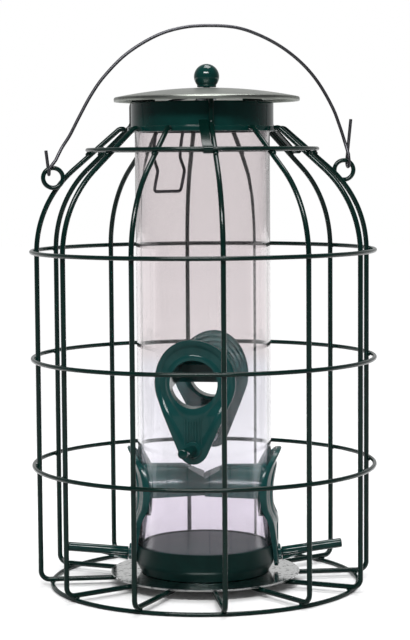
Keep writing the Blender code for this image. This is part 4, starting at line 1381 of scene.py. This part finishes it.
class FeedPort:
    """One teardrop port with its hood, mouth, half-pipe roof and perch boss, and the perch and nut on it."""

    def __init__(self, place: PortPlace, sizes: PortSizes, finishes: Finishes) -> None:
        """Keeps the place, sizes and finishes.

        Args:
            place: Where the port sits.
            sizes: Its sizes.
            finishes: The feeder's finishes.
        """
        self.place = place
        self.s = sizes
        self.f = finishes
        tilt = math.radians(place.tilt)
        reach = sizes.tail_back + sizes.wall + sizes.bead + sizes.boss_height
        self.seat = Vector((0.0, -reach, -sizes.tip_drop))
        self.along = Vector((0.0, -math.cos(tilt), math.sin(tilt)))

    @property
    def is_low(self) -> bool:
        """Tells whether the port's tail reaches down over the dish."""
        return self.place.z - self.s.tip_drop < self.s.dish_top

    def put(self, points: Iterable[Vector]) -> list[Vector]:
        """Turns points drawn at the front from the mouth's centre to the port's place."""
        return turned_to(points, self.place.azimuth, self.place.z)

    def reach_at(self, down_deg: float) -> float:
        """Gives the teardrop's reach from the mouth's centre at an angle counted from straight down.

        Args:
            down_deg: The angle.

        Returns:
            The reach.
        """
        s, down = self.s, math.radians(abs(down_deg))
        lean = math.pi / 2 - math.asin((s.head - s.tip) / s.tip_drop)
        tip_side, tip_low = s.tip * math.sin(lean), s.tip_drop + s.tip * math.cos(lean)
        if down >= math.pi / 2:
            return 1 / math.hypot(math.sin(down) / s.head, math.cos(down) / s.hood)
        if down >= lean:
            return s.head
        if down >= math.atan2(tip_side, tip_low):
            return s.head / math.cos(lean - down)
        across = s.tip_drop * math.sin(down)
        return s.tip_drop * math.cos(down) + math.sqrt(s.tip**2 - across**2)

    def back_at(self, height: float) -> float:
        """Gives how far from the tube's axis the plate's back lies at a height from the mouth's centre.

        Args:
            height: The height.

        Returns:
            The distance.
        """
        s = self.s
        hood = s.flare * (max(height - s.flare_start, 0.0) / (s.hood - s.flare_start)) ** 2
        tail = ease((-height - s.flare_start) / (s.tip_drop / 2 - s.flare_start))
        return s.back + hood + tail * (s.tail_back - s.back)

    def on_plate(self, across: float, height: float, lift: float) -> Vector:
        """Gives the point of the plate at this place, lifted off its back."""
        radius = self.back_at(height) + lift
        return Vector((across, -math.sqrt(radius**2 - across**2), height))

    def mid_plate(self, across: float) -> float:
        """Gives the y of the middle of the plate's thickness, this far across from the mouth's centre."""
        return -math.sqrt((self.s.back + self.s.wall / 2) ** 2 - across**2)

    def angles(self) -> list[float]:
        """Gives the angles round the mouth from straight down, closer together at the narrow tip."""
        turns = [2 * i / self.s.steps - 1 for i in range(self.s.steps)]
        return [math.copysign(180 * abs(turn) ** self.s.crowding, turn) for turn in turns]

    def bead_at(self, share: float) -> float:
        """Gives the face's rise over the plate: a round bead at the mouth and one at the edge.

        Args:
            share: How far the place lies from mouth to edge, from 0 to 1.

        Returns:
            The rise.
        """
        s = self.s
        inner = max(0.0, 1 - (share / s.mouth_bead) ** 2) ** 0.5
        outer = max(0.0, 1 - ((share - s.rim_bead_top) / s.rim_bead_half) ** 2) ** 0.5
        return s.bead * max(min(inner * s.bead_flat, 1.0), outer)

    def groove_at(self, share: float) -> float:
        """Gives how deep the rings moulded into the hood's back are, part of the way from mouth to edge."""
        return self.s.groove_depth * (1 - math.cos(math.tau * self.s.grooves * share)) / 2

    def plate(self, shape: Solid) -> None:
        """Adds the plate, wrapped round the tube, with its beads and eased edge.

        Args:
            shape: The solid to add to.
        """
        s = self.s
        face = [(i / s.rows, s.wall + self.bead_at(i / s.rows), 0.0) for i in range(s.rows + 1)]
        face[-1] = (1.0, face[-1][1] - s.edge, 0.0)
        steps = s.grooves * s.groove_steps
        back = [(1 - i / steps, 0.0, self.groove_at(1 - i / steps)) for i in range(steps + 1)]
        rings = []
        for share, lift, groove in face + back:
            points = []
            for degrees in self.angles():
                reach, angle = s.mouth + (self.reach_at(degrees) - s.mouth) * share, math.radians(degrees)
                height = -reach * math.cos(angle)
                sunk = groove * ease(height / s.groove_fade)
                points.append(self.on_plate(reach * math.sin(angle), height, lift + sunk))
            rings.append(shape.ring(self.put(points)))
        shape.skin(rings, closed=True)

    def flutes(self, shape: Solid) -> None:
        """Adds the fine upright flutes on the tail, between the mouth's bead and the perch's boss.

        Args:
            shape: The solid to add to.
        """
        s = self.s
        side = s.boss + s.flute_foot_gap
        for i in range(s.flutes):
            across = (i - (s.flutes - 1) / 2) * s.flute_pitch
            top = -math.sqrt((s.mouth + s.flute_top_gap) ** 2 - across**2)
            low = -s.tip_drop + (math.sqrt(side**2 - across**2) if abs(across) < side else 0.0)
            heights = spread(top, low, s.flute_steps)
            path = self.put(self.on_plate(across, height, s.wall) for height in heights)
            shape.sweep(path, s.flute_wire, sides=s.flute_sides)

    def spigot(self, shape: Solid) -> None:
        """Adds the ring behind the plate that plugs into the tube's hole.

        Args:
            shape: The solid to add to.
        """
        s = self.s
        outer = s.mouth + s.roof_wall
        back = s.spigot_depth + (s.back - SEAT_GAP - s.tube_inner) - s.back
        rings = []
        for radius, at_plate in ((outer, True), (outer, False), (s.mouth, False), (s.mouth, True)):
            circle = [(radius * math.sin(a), -radius * math.cos(a)) for a in around(s.spigot_steps)]
            points = [Vector((x, self.mid_plate(x) if at_plate else back, z)) for x, z in circle]
            rings.append(shape.ring(self.put(points)))
        shape.skin(rings, closed=True)

    def roof_end(self, height: float, wall: float) -> float:
        """Gives the y of the roof's inner end at a height, a wall's thickness inside its outer face.

        Args:
            height: The height from the mouth's centre.
            wall: The wall's thickness.

        Returns:
            The y.
        """
        s = self.s
        fall_z = s.mouth + s.roof_wall - s.fall_depth
        slope = math.atan2(s.fall_depth, s.fall_length)
        return -s.roof_gap - max(wall, wall / math.sin(slope) + (height - fall_z) / math.tan(slope))

    def roof(self, shape: Solid) -> None:
        """Adds the roof over the mouth: a half-pipe that reaches to the tube's axis and is closed there.

        Args:
            shape: The solid to add to.
        """
        s, steps = self.s, self.s.roof_steps
        rows = []
        for radius, wall in ((s.mouth + s.roof_wall - SEAT_GAP, 0.0), (s.mouth + SEAT_GAP, s.roof_wall)):
            sinks = [math.degrees(math.asin(skirt / radius)) for skirt in (s.roof_skirt_end, s.roof_skirt)]
            inside, outside = (arc((0.0, 0.0), radius, -sink, 180 + sink, steps) for sink in sinks)
            ends = [Vector((x, self.roof_end(z, wall), z)) for x, z in inside]
            fronts = [Vector((x, self.mid_plate(x), z)) for x, z in outside]
            rows.append((shape.ring(self.put(ends)), shape.ring(self.put(fronts))))
        (out_end, out_front), (in_end, in_front) = rows
        for first, second in ((out_end, out_front), (in_end, in_front), (out_front, in_front)):
            shape.band(first, second, closed=False)
        for end in (out_end, in_end):
            for i in range(steps // 2):
                strip = dict.fromkeys((i, i + 1, steps - i - 1, steps - i))
                shape.faces.append(tuple(end[k] for k in strip))
        shape.faces.append((out_end[0], out_end[-1], in_end[-1], in_end[0]))
        shape.faces += [(out_end[i], in_end[i], in_front[i], out_front[i]) for i in (0, -1)]

    def along_axis(self, shape: Solid, profile: Profile, segments: int) -> None:
        """Adds a turned form about the perch's axis, its heights counted outward from the seat.

        Args:
            shape: The solid to add to.
            profile: (radius, height) points, both ends on the axis.
            segments: Segments round the axis.
        """
        piece = Solid().turn(profile, segments)
        turn = self.along.to_track_quat("Z", "Y").to_matrix().to_4x4()
        place = Matrix.Translation(self.seat) @ turn
        start = len(shape.points)
        shape.points += self.put(place @ point for point in piece.points)
        shape.faces += [tuple(start + i for i in face) for face in piece.faces]

    def stud_cutter(self, name: str) -> bpy.types.Object:
        """Gives the bore for the perch's stud, through plate and wall.

        Args:
            name: The cutting shape's name.

        Returns:
            The cutting shape.
        """
        s = self.s
        length = -self.seat.y - s.hollow + s.cut_overrun
        start, end = self.put([self.seat - self.along * length, self.seat + self.along * s.cut_overrun])
        return bar(start, end, s.stud + s.play, s.bore_sides).make(name, self.f.moulded)

    def tube_cutters(self) -> list[bpy.types.Object]:
        """Gives the shapes that cut the port's hole and the stud's bore in the tube.

        Returns:
            The two cutting shapes.
        """
        s, name = self.s, self.place.name
        start, end = self.put([Vector((0, -s.tube_inner / 2, 0)), Vector((0, -s.back - s.cut_overrun, 0))])
        hole = bar(start, end, s.mouth + s.roof_wall + SEAT_GAP, s.hole_sides)
        return [hole.make(f"{name}_tube_hole", self.f.moulded), self.stud_cutter(f"{name}_tube_bore")]

    def build_port(self) -> None:
        """Builds the moulded port."""
        s, shape = self.s, Solid()
        self.plate(shape)
        self.flutes(shape)
        self.spigot(shape)
        self.roof(shape)
        sink = s.boss_height + s.bead + s.wall / 2
        boss = [(0.0, -sink), (s.boss, -sink), (s.boss, -s.edge), (s.boss - s.edge, 0.0), (0.0, 0.0)]
        self.along_axis(shape, boss, s.boss_segments)
        name = f"{self.place.name}_port"
        dress(shape.make(f"{name}_moulding", self.f.moulded), Body.CAGE, Slot.PLASTIC, name)

    def nut_depth(self) -> float:
        """Gives how far in from the perch's seat its nut starts.

        Returns:
            The distance.
        """
        s = self.s
        wall = s.hollow if self.is_low else s.tube_inner
        return -self.seat.y - wall + s.nut**2 / (wall + wall) + s.nut * self.along.z + SEAT_GAP

    def keel(self) -> Solid:
        """Gives the thin keel under the perch, deep at the port and running out along the rod.

        Returns:
            The keel.
        """
        s = self.s
        start, high = -self.seat.y + SEAT_GAP + SEAT_GAP, self.seat.z
        end, low = start + s.keel_length, high - s.keel_length * self.along.z / self.along.y
        outline = [(start, high), (start, high - s.keel_depth), (end, low - s.perch / 2), (end, low)]
        return slab(outline, s.keel_thickness, 0.0, self.place.azimuth, self.place.z)

    def build_perch(self) -> None:
        """Builds the perch: a rod with a rounded end, a thin keel under it and a threaded stud behind."""
        s, shape = self.s, Solid()
        stud = self.nut_depth() + s.nut_height + s.overhang
        middle = (s.perch - s.perch_end, s.perch_length - s.perch_end)
        end = arc(middle, s.perch_end, 90, 0, s.perch_end_steps)
        heel = [(s.perch, s.perch_heel), (s.perch - s.perch_heel_step, SEAT_GAP), (s.stud, SEAT_GAP)]
        profile = [(0.0, s.perch_length)] + end + heel
        for i in range(int(stud / s.stud_pitch)):
            z = -s.stud_pitch * i
            profile += [(s.stud, z), (s.stud - s.stud_thread, z - s.stud_pitch / 2)]
        profile += [(s.stud - s.stud_point, -stud), (0.0, -stud)]
        self.along_axis(shape, profile, s.perch_segments)
        name = f"{self.place.name}_perch"
        perch = shape.make(f"{name}_moulding", self.f.polished_dark_and_painted_shade)
        web = self.keel().make(f"{name}_web", self.f.polished_dark_and_painted_shade)
        soften(web, s.keel_edge)
        carve(perch, [web], "UNION")
        dress(perch, Body.CAGE, Slot.PLASTIC, name)

    def build_nut(self) -> None:
        """Builds the hexagon nut on the stud, its corners turned off and its bore cut."""
        s, blank, bore = self.s, Solid(), Solid()
        near, far = -self.nut_depth(), -self.nut_depth() - s.nut_height
        corner, hole = s.nut * s.nut_fit, s.stud + s.play
        outline = [(0.0, far), (corner - s.edge, far), (corner, far + s.edge), (corner, near), (0.0, near)]
        self.along_axis(blank, outline, s.nut_sides)
        low, high = far - s.nut_overrun, near + s.nut_overrun
        self.along_axis(bore, [(0.0, low), (hole, low), (hole, high), (0.0, high)], s.bore_sides)
        name = f"{self.place.name}_perch_nut"
        nut = blank.make(f"{name}_hexagon", self.f.zinc, s.nut_sharp_deg)
        carve(nut, [bore.make(f"{name}_bore", self.f.zinc)], "DIFFERENCE", s.nut_sharp_deg)
        dress(nut, Body.CAGE, Slot.FASTENER, name)

    def build(self) -> None:
        """Builds the port, its perch and its nut."""
        self.build_port()
        self.build_perch()
        self.build_nut()


# The lid and what lifts with it


@dataclass(frozen=True)
class LidSizes:
    """The lid, its knob and its catch, about the lid's own axis."""

    offset: float = 0.0024
    radius: float = 0.0474
    rise: float = 0.0048
    thickness: float = 0.0010
    lip: float = 0.0011
    fold: float = 0.0006
    fold_cut: float = 0.00018
    edge: float = 0.0002
    under_gap: float = 0.0004
    rows: int = 26
    segments: int = 160
    sharp_deg: float = 50.0
    knob: float = 0.00645
    knob_neck: float = 0.0049
    knob_lift: float = 0.0054
    knob_edge: float = 0.0003
    knob_steps: int = 40
    knob_segments: int = 96
    screw: PanScrew = PanScrew()
    washer: float = 0.0048
    washer_thickness: float = 0.0008
    washer_edge: float = 0.0001
    washer_segments: int = 48
    catch_azimuth: float = 225.0
    catch_wire: float = 0.00085
    catch_sides: int = 12
    catch_half: float = 0.0098
    catch_bottom: float = 0.2026
    catch_reach: float = 0.0190
    catch_bend: float = 0.0022
    catch_bend_steps: int = 8
    catch_level: float = 0.0075
    catch_eye_end: float = 114.0
    catch_eye_turn: float = 270.0
    catch_eye_steps: int = 27
    catch_shares: tuple[tuple[float, float], ...] = (
        (0.0, 0.115), (0.82, 0.415), (1.0, 0.594), (1.0, 0.66), (0.70, 0.79), (0.98, 1.0),
    )
    tube_inner: float = 0.0327


class Lid:
    """The spun lid with its ball knob, and the screw, washer and wire catch under it."""

    def __init__(self, sizes: LidSizes, finishes: Finishes) -> None:
        """Keeps the sizes and finishes, and reads the crown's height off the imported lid.

        Args:
            sizes: The lid's sizes.
            finishes: The feeder's finishes.
        """
        self.s = sizes
        self.f = finishes
        self.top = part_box("lid")[0].z + sizes.lip + sizes.thickness + self.sag(sizes.radius)
        self.crown = self.top - sizes.thickness

    def sag(self, radius: float) -> float:
        """Gives how far the lid has come down from its crown at this radius."""
        sphere = (self.s.radius**2 + self.s.rise**2) / (self.s.rise + self.s.rise)
        return sphere - math.sqrt(sphere**2 - radius**2)

    def build_lid(self) -> None:
        """Builds the domed sheet with its turned-down lip, the fold rounded."""
        s = self.s
        radii = spread(s.screw.bore, s.radius - s.fold, s.rows)
        over = [(r, self.top - self.sag(r)) for r in radii]
        rim = self.top - self.sag(s.radius)
        low, inside = rim - s.thickness - s.lip, s.radius - s.thickness
        fold = [(s.radius - s.fold_cut, rim - s.fold_cut), (s.radius, rim - s.fold)]
        lip = [(s.radius, low + s.edge), (s.radius - s.edge, low)]
        lip += [(inside + s.edge, low), (inside, low + s.edge)]
        below = [inside] + [r for r in reversed(radii) if r < inside - s.under_gap]
        under = [(r, self.crown - self.sag(r)) for r in below]
        shape = Solid().turn(over + fold + lip + under, s.segments, s.offset)
        dress(shape.make("lid_sheet", self.f.lid_sheet, s.sharp_deg), Body.LID, Slot.SHEET, "lid")

    def build_knob(self) -> None:
        """Builds the ball knob on its short flared neck."""
        s = self.s
        seat = self.top + SEAT_GAP
        centre = seat + s.knob_lift
        start = math.degrees(math.acos(s.knob_neck / s.knob))
        ball = [(0.0, centre + s.knob)] + arc((0.0, centre), s.knob, 90, -start, s.knob_steps)[1:]
        bore, bore_top = s.screw.bore, seat + s.screw.grip + s.screw.play
        foot = [(s.knob_neck, seat + s.knob_edge), (s.knob_neck - s.knob_edge, seat)]
        hole = [(bore, seat), (bore, bore_top), (0.0, bore_top)]
        shape = Solid().turn(ball + foot + hole, s.knob_segments, s.offset)
        dress(shape.make("lid_knob_moulding", self.f.polished_dark_and_painted_shade), Body.LID, Slot.PLASTIC, "lid_knob")

    def eye_z(self, turn: int) -> float:
        """Gives the height of the catch wire's first (0) or second (1) eye under the lid."""
        step = self.s.catch_wire + self.s.catch_wire + SEAT_GAP
        return self.crown - SEAT_GAP - self.s.catch_wire - step * turn

    def build_fastening(self) -> None:
        """Builds the washer under the catch's eyes and the screw up through them into the knob."""
        s, edge, hole = self.s, self.s.washer_edge, self.s.screw.bore
        top = self.eye_z(1) - s.catch_wire - SEAT_GAP
        bottom = top - s.washer_thickness
        profile = [(hole, top), (s.washer - edge, top), (s.washer, top - edge), (s.washer, bottom + edge)]
        profile += [(s.washer - edge, bottom), (hole, bottom)]
        washer = Solid().turn(profile, s.washer_segments, s.offset).make("lid_washer_ring", self.f.zinc)
        dress(washer, Body.LID, Slot.FASTENER, "lid_washer")
        seat = bottom - SEAT_GAP
        length = self.top + s.screw.grip - seat
        made = s.screw.build("lid_screw_pan_head", seat, length, self.f.zinc, s.offset)
        dress(made, Body.LID, Slot.FASTENER, "lid_screw")

    def catch_half_line(self, side: int, top: float) -> tuple[list[Point], list[Point]]:
        """Gives half of the catch's centre line, drawn with its loop towards +Y.

        Args:
            side: The sign of x that it lies on.
            top: The height of its eye.

        Returns:
            The eye round the screw, and the corners of the leg that runs down from it.
        """
        s = self.s
        eye = s.screw.radius + SEAT_GAP + s.catch_wire
        limit = math.sqrt((s.tube_inner - s.catch_wire - SEAT_GAP) ** 2 - s.catch_half**2)
        loop = []
        for i in range(s.catch_eye_steps + 1):
            angle = math.radians(s.catch_eye_end + s.catch_eye_turn * (1 - i / s.catch_eye_steps))
            loop.append((side * eye * math.sin(angle), eye * math.cos(angle), top))
        start = Vector(loop[-1])
        toward = Vector((side * s.catch_half, s.catch_reach, top)) - start
        leg = [tuple(start + toward.normalized() * s.catch_level)]
        for out, down in s.catch_shares:
            depth = s.catch_reach + (limit - s.catch_reach) * out
            leg.append((side * s.catch_half, depth, self.crown + (s.catch_bottom - self.crown) * down))
        return loop, leg

    def build_catch(self) -> None:
        """Builds the bent wire that springs against the tube's wall and keeps the lid on."""
        s = self.s
        left_loop, left_leg = self.catch_half_line(-1, self.eye_z(0))
        right_loop, right_leg = self.catch_half_line(1, self.eye_z(1))
        corners = [left_loop[-1]] + left_leg + right_leg[::-1] + [right_loop[-1]]
        path = left_loop[:-1] + rounded(corners, s.catch_bend, s.catch_bend_steps) + right_loop[-2::-1]
        points = turned_to([Vector((x, -y, z)) for x, y, z in path], s.catch_azimuth)
        shift = Vector((s.offset, 0, 0))
        catch = Solid().sweep([point + shift for point in points], s.catch_wire, sides=s.catch_sides)
        dress(catch.make("lid_catch_bent_wire", self.f.bare_wire), Body.LID, Slot.BAIL, "lid_catch_wire")

    def build(self) -> None:
        """Builds the lid and what lifts with it."""
        self.build_lid()
        self.build_knob()
        self.build_fastening()
        self.build_catch()


# The handle


@dataclass(frozen=True)
class BailSizes:
    """The carrying wire in the plane through its two hooks, its arch in shares of half span and rise."""

    wire: float = 0.00085
    sides: int = 14
    rise: float = 0.0705
    hook_deg: float = 25.0
    hook_steps: int = 18
    play: float = 0.0009
    blend: float = 0.0120
    tails: tuple[float, float] = (0.0215, 0.0092)
    leans: tuple[float, float] = (0.0026, 0.0009)
    steps: int = 6
    arch: tuple[tuple[float, float], ...] = (
        (-0.955, 0.060), (-0.910, 0.147), (-0.853, 0.240), (-0.793, 0.360), (-0.709, 0.518), (-0.616, 0.654),
        (-0.465, 0.810), (-0.270, 0.933), (-0.091, 0.989), (0.087, 1.000), (0.266, 0.983), (0.424, 0.923),
        (0.578, 0.828), (0.712, 0.705), (0.815, 0.565), (0.902, 0.393), (0.946, 0.264), (0.978, 0.150),
        (0.998, 0.050),
    )


class Bail:
    """The thin wire handle, hooked through the cage's two eyes."""

    def __init__(self, sizes: BailSizes, cage: Cage, finishes: Finishes) -> None:
        """Keeps the sizes, the cage that it hangs on, and its finish.

        Args:
            sizes: The handle's sizes.
            cage: The cage.
            finishes: The feeder's finishes.
        """
        self.s = sizes
        self.cage = cage
        self.finish = finishes.bare_wire
        self.loop = cage.s.eye_wire + sizes.wire + sizes.play

    def hook_place(self, side: Side) -> Vector:
        """Gives where the wire hangs on an eye: a little outward of the eye's top.

        Args:
            side: The eye's side.

        Returns:
            The place.
        """
        radius, z = self.cage.eye_centre(side)
        lean, eye = math.radians(self.s.hook_deg), self.cage.s.eye_radius
        return polar(radius + eye * math.sin(lean), self.cage.eye_azimuth(side), z + eye * math.cos(lean))

    def hook(self, side: Side, half_span: float) -> list[Point]:
        """Gives one hook from its tail's free end, round the eye's wire, to the foot of the arch.

        Args:
            side: The hook's side.
            half_span: Half the way from hook to hook.

        Returns:
            The centre line, in the handle's own plane.
        """
        s, out = self.s, side.value
        points = [(out * (half_span + side.pick(s.leans)), self.loop, side.pick(s.tails))]
        for angle in spread(0.0, math.pi, s.hook_steps):
            points.append((out * half_span, self.loop * math.cos(angle), -self.loop * math.sin(angle)))
        return points

    def build(self) -> None:
        """Builds the handle."""
        s = self.s
        right, left = self.hook_place(Side.RIGHT), self.hook_place(Side.LEFT)
        half_span = (right - left).length / 2
        arch = []
        for along, rise in curved(s.arch, s.steps):
            height = s.rise * rise
            arch.append((half_span * along, -self.loop * (1 - ease(height / s.blend)), height))
        points = self.hook(Side.LEFT, half_span) + arch + self.hook(Side.RIGHT, half_span)[::-1]
        turn = (right - left).to_track_quat("X", "Z").to_matrix().to_4x4()
        place = Matrix.Translation((right + left) / 2) @ turn
        bail = Solid().sweep([place @ Vector(point) for point in points], s.wire, sides=s.sides)
        dress(bail.make("bail_handle_wire", self.finish), Body.BAIL, Slot.BAIL, "bail_handle")


# The studio


@dataclass(frozen=True)
class Studio:
    """A plain pale floor, soft light and the camera of the photograph."""

    camera: tuple[float, float, float] = (0.0, -1.00016, 0.21862)
    pitch: float = 0.0872
    roll: float = 0.0069
    lens: float = 109.6
    shift: tuple[float, float] = (0.0022, 0.0168)
    floor_size: float = 8.0
    paper: tuple[str, str] = ("#f7f7f7", "#ffffff")
    paper_scale: float = 3.0
    paper_roughness: float = 0.9
    glow: tuple[tuple[float, float], ...] = (
        (0.70, 0.0), (1.23, 0.29), (1.68, 0.45), (2.35, 0.58), (3.5, 0.645),
    )
    floor_bounce: Colour = (0.36, 0.36, 0.36, 1.0)
    room: Colour = (0.35, 0.35, 0.355, 1.0)
    wall: tuple[tuple[float, Colour], ...] = (
        (0.0, (0.06, 0.06, 0.065, 1.0)),
        (0.45, (0.10, 0.10, 0.105, 1.0)),
        (0.70, (0.25, 0.25, 0.255, 1.0)),
        (0.95, (0.55, 0.55, 0.55, 1.0)),
    )
    boxes: tuple[tuple[str, tuple[float, float, float], tuple[float, float], float], ...] = (
        ("key_softbox", (-0.15, -1.35, 1.25), (1.20, 0.32), 28.0),
        ("top_softbox", (0.10, 0.25, 1.60), (0.80, 0.80), 16.0),
    )
    aim: tuple[float, float, float] = (0.0, 0.0, 0.15)

    def build_floor(self) -> None:
        """Builds the floor, paper white, that keeps the feeder's soft shadow and runs out to plain white."""
        half = self.floor_size / 2
        mesh = bpy.data.meshes.new("studio_floor")
        corners = [(-half, -half, 0), (half, -half, 0), (half, half, 0), (-half, half, 0)]
        mesh.from_pydata(corners, [], [(0, 1, 2, 3)])
        paper = bpy.data.materials.new("matt_white_paper_roll")
        paper.use_nodes = True
        tree = paper.node_tree
        shader = tree.nodes["Principled BSDF"]
        spot = add_node(tree, "TexCoord").outputs["Object"]
        mottle = add_node(tree, "TexNoise", {"Vector": spot, "Scale": self.paper_scale})
        whites = [(place, linear(white)) for place, white in zip((0.0, 1.0), self.paper)]
        tone = add_node(tree, "ValToRGB", {"Fac": mottle.outputs["Fac"]}, whites)
        reach = add_node(tree, "VectorMath", {0: spot}, operation="LENGTH")
        share = add_node(tree, "Math", {0: reach.outputs["Value"], 1: half}, operation="DIVIDE")
        greys = [(place / half, (glow, glow, glow, 1.0)) for place, glow in self.glow]
        glow = add_node(tree, "ValToRGB", {"Fac": share.outputs["Value"]}, greys)
        path = add_node(tree, "LightPath")
        parts = add_node(tree, "SeparateXYZ", {"Vector": spot})
        behind = add_node(tree, "Math", {0: parts.outputs["Y"], 1: 0.0}, operation="GREATER_THAN")
        both = {0: path.outputs["Is Glossy Ray"], 1: behind.outputs["Value"]}
        mirrored = add_node(tree, "Math", both, operation="MULTIPLY")
        either = {0: self.straight_view(tree, path), 1: mirrored.outputs["Value"]}
        shown = add_node(tree, "Math", either, operation="MAXIMUM").outputs["Value"]
        strength = add_node(tree, "Math", {0: glow.outputs["Color"], 1: shown}, operation="MULTIPLY")
        tree.links.new(strength.outputs["Value"], shader.inputs["Emission Strength"])
        mixed = {"Factor": shown, MIX_FIRST: self.floor_bounce, MIX_SECOND: tone.outputs["Color"]}
        paint = add_node(tree, "Mix", mixed, data_type="RGBA")
        tree.links.new(paint.outputs[MIX_RESULT], shader.inputs["Base Color"])
        shader.inputs["Roughness"].default_value = self.paper_roughness
        shader.inputs["Specular IOR Level"].default_value = 0.0
        shader.inputs["Emission Color"].default_value = WHITE
        mesh.materials.append(paper)
        floor = place_in_scene("studio_floor", mesh)

    def straight_view(self, tree: bpy.types.NodeTree, path: bpy.types.Node) -> bpy.types.NodeSocket:
        """Says where a ray comes straight from the camera, or from there through clear walls only.

        Args:
            tree: The node tree to add to.
            path: Its light path node.

        Returns:
            1 where it does, otherwise 0.
        """
        ray = path.outputs
        turns = add_node(tree, "Math", {0: ray["Glossy Depth"], 1: ray["Diffuse Depth"]}, operation="ADD")
        unturned = add_node(tree, "Math", {0: turns.outputs["Value"], 1: UNDER_ONE}, operation="LESS_THAN")
        both = {0: ray["Is Transmission Ray"], 1: unturned.outputs["Value"]}
        through = add_node(tree, "Math", both, operation="MULTIPLY")
        either = {0: ray["Is Camera Ray"], 1: through.outputs["Value"]}
        return add_node(tree, "Math", either, operation="MAXIMUM").outputs["Value"]

    def build_world(self) -> None:
        """Makes the backdrop: white to the camera and through glass, and a wall that glossy pieces show."""
        world = bpy.data.worlds.new("studio_surround")
        world.use_nodes = True
        bpy.context.scene.world = world
        tree = world.node_tree
        tree.nodes.clear()
        path = add_node(tree, "LightPath")
        seen = self.straight_view(tree, path)
        either = {0: path.outputs["Is Glossy Ray"], 1: path.outputs["Is Transmission Ray"]}
        mirrored = add_node(tree, "Math", either, operation="MAXIMUM")
        parts = add_node(tree, "SeparateXYZ", {"Vector": add_node(tree, "TexCoord").outputs["Generated"]})
        turned = add_node(tree, "MapRange", {"Value": parts.outputs["Y"], "From Min": -1.0, "From Max": 1.0})
        wall = add_node(tree, "ValToRGB", {"Fac": turned.outputs["Result"]}, self.wall)
        dim = {"Factor": mirrored.outputs["Value"], MIX_FIRST: self.room, MIX_SECOND: wall.outputs["Color"]}
        soft = add_node(tree, "Mix", dim, data_type="RGBA")
        lit = {"Factor": seen, MIX_FIRST: soft.outputs[MIX_RESULT], MIX_SECOND: WHITE}
        shown = add_node(tree, "Mix", lit, data_type="RGBA")
        glow = add_node(tree, "Background", {"Color": shown.outputs[MIX_RESULT], "Strength": 1.0})
        add_node(tree, "OutputWorld", {"Surface": glow.outputs["Background"]})

    def build_lights(self) -> None:
        """Hangs the soft boxes: one over the camera and one over the feeder."""
        for name, place, size, power in self.boxes:
            lamp = bpy.data.lights.new(name, "AREA")
            lamp.shape, lamp.energy = "RECTANGLE", power
            lamp.size, lamp.size_y = size
            made = place_in_scene(name, lamp)
            made.location = place
            made.rotation_euler = (Vector(self.aim) - Vector(place)).to_track_quat("-Z", "Y").to_euler()

    def build_camera(self) -> None:
        """Sets the camera where the photograph's stood for one of its four copies."""
        lens = bpy.data.cameras.new("photo_camera")
        lens.lens = self.lens
        lens.shift_x, lens.shift_y = self.shift
        up = Vector((0, math.sin(self.pitch), math.cos(self.pitch)))
        back = Vector((0, -math.cos(self.pitch), math.sin(self.pitch)))
        right = Vector((1, 0, 0))
        cos, sin = math.cos(self.roll), math.sin(self.roll)
        turn = Matrix((right * cos - up * sin, right * sin + up * cos, back)).transposed().to_4x4()
        made = place_in_scene("photo_camera", lens)
        made.matrix_world = Matrix.Translation(self.camera) @ turn
        bpy.context.scene.camera = made

    def build(self) -> None:
        """Builds the studio, with plain colours on the film."""
        bpy.context.scene.view_settings.view_transform = "Standard"
        self.build_floor()
        self.build_world()
        self.build_lights()
        self.build_camera()


# The feeder


@dataclass(frozen=True)
class Feeder:
    """The whole feeder; a port's turn counts from the middle of the gap that the front one faces."""

    cage_sizes: CageSizes = CageSizes()
    tube_sizes: TubeSizes = TubeSizes()
    port_sizes: PortSizes = PortSizes()
    lid_sizes: LidSizes = LidSizes()
    bail_sizes: BailSizes = BailSizes()
    gap_azimuth: float = -8.6
    port_turns: tuple[tuple[str, float, float, float], ...] = (
        ("upper_front", 0.0, 0.1075, 5.0),
        ("upper_rear", 180.0, 0.1058, 5.0),
        ("lower_right", 98.6, 0.0484, 8.0),
        ("lower_left", 278.6, 0.0491, 4.8),
    )

    def build(self) -> None:
        """Builds the feeder from the cage inward."""
        finishes = Finishes.make(self.lid_sizes.offset)
        cage = Cage(self.cage_sizes, finishes)
        cage.build()
        ports = []
        for name, turn, z, tilt in self.port_turns:
            place = PortPlace(name, self.gap_azimuth + turn, z, tilt)
            ports.append(FeedPort(place, self.port_sizes, finishes))
        FeedTube(self.tube_sizes, finishes, ports, cage.hook_z).build()
        for port in ports:
            port.build()
        Lid(self.lid_sizes, finishes).build()
        Bail(self.bail_sizes, cage, finishes).build()


def main() -> None:
    """Builds the feeder and the studio."""
    logging.basicConfig(level=logging.INFO, format="%(name)s: %(message)s")
    Feeder().build()
    Studio().build()


if __name__ == "__main__":
    main()
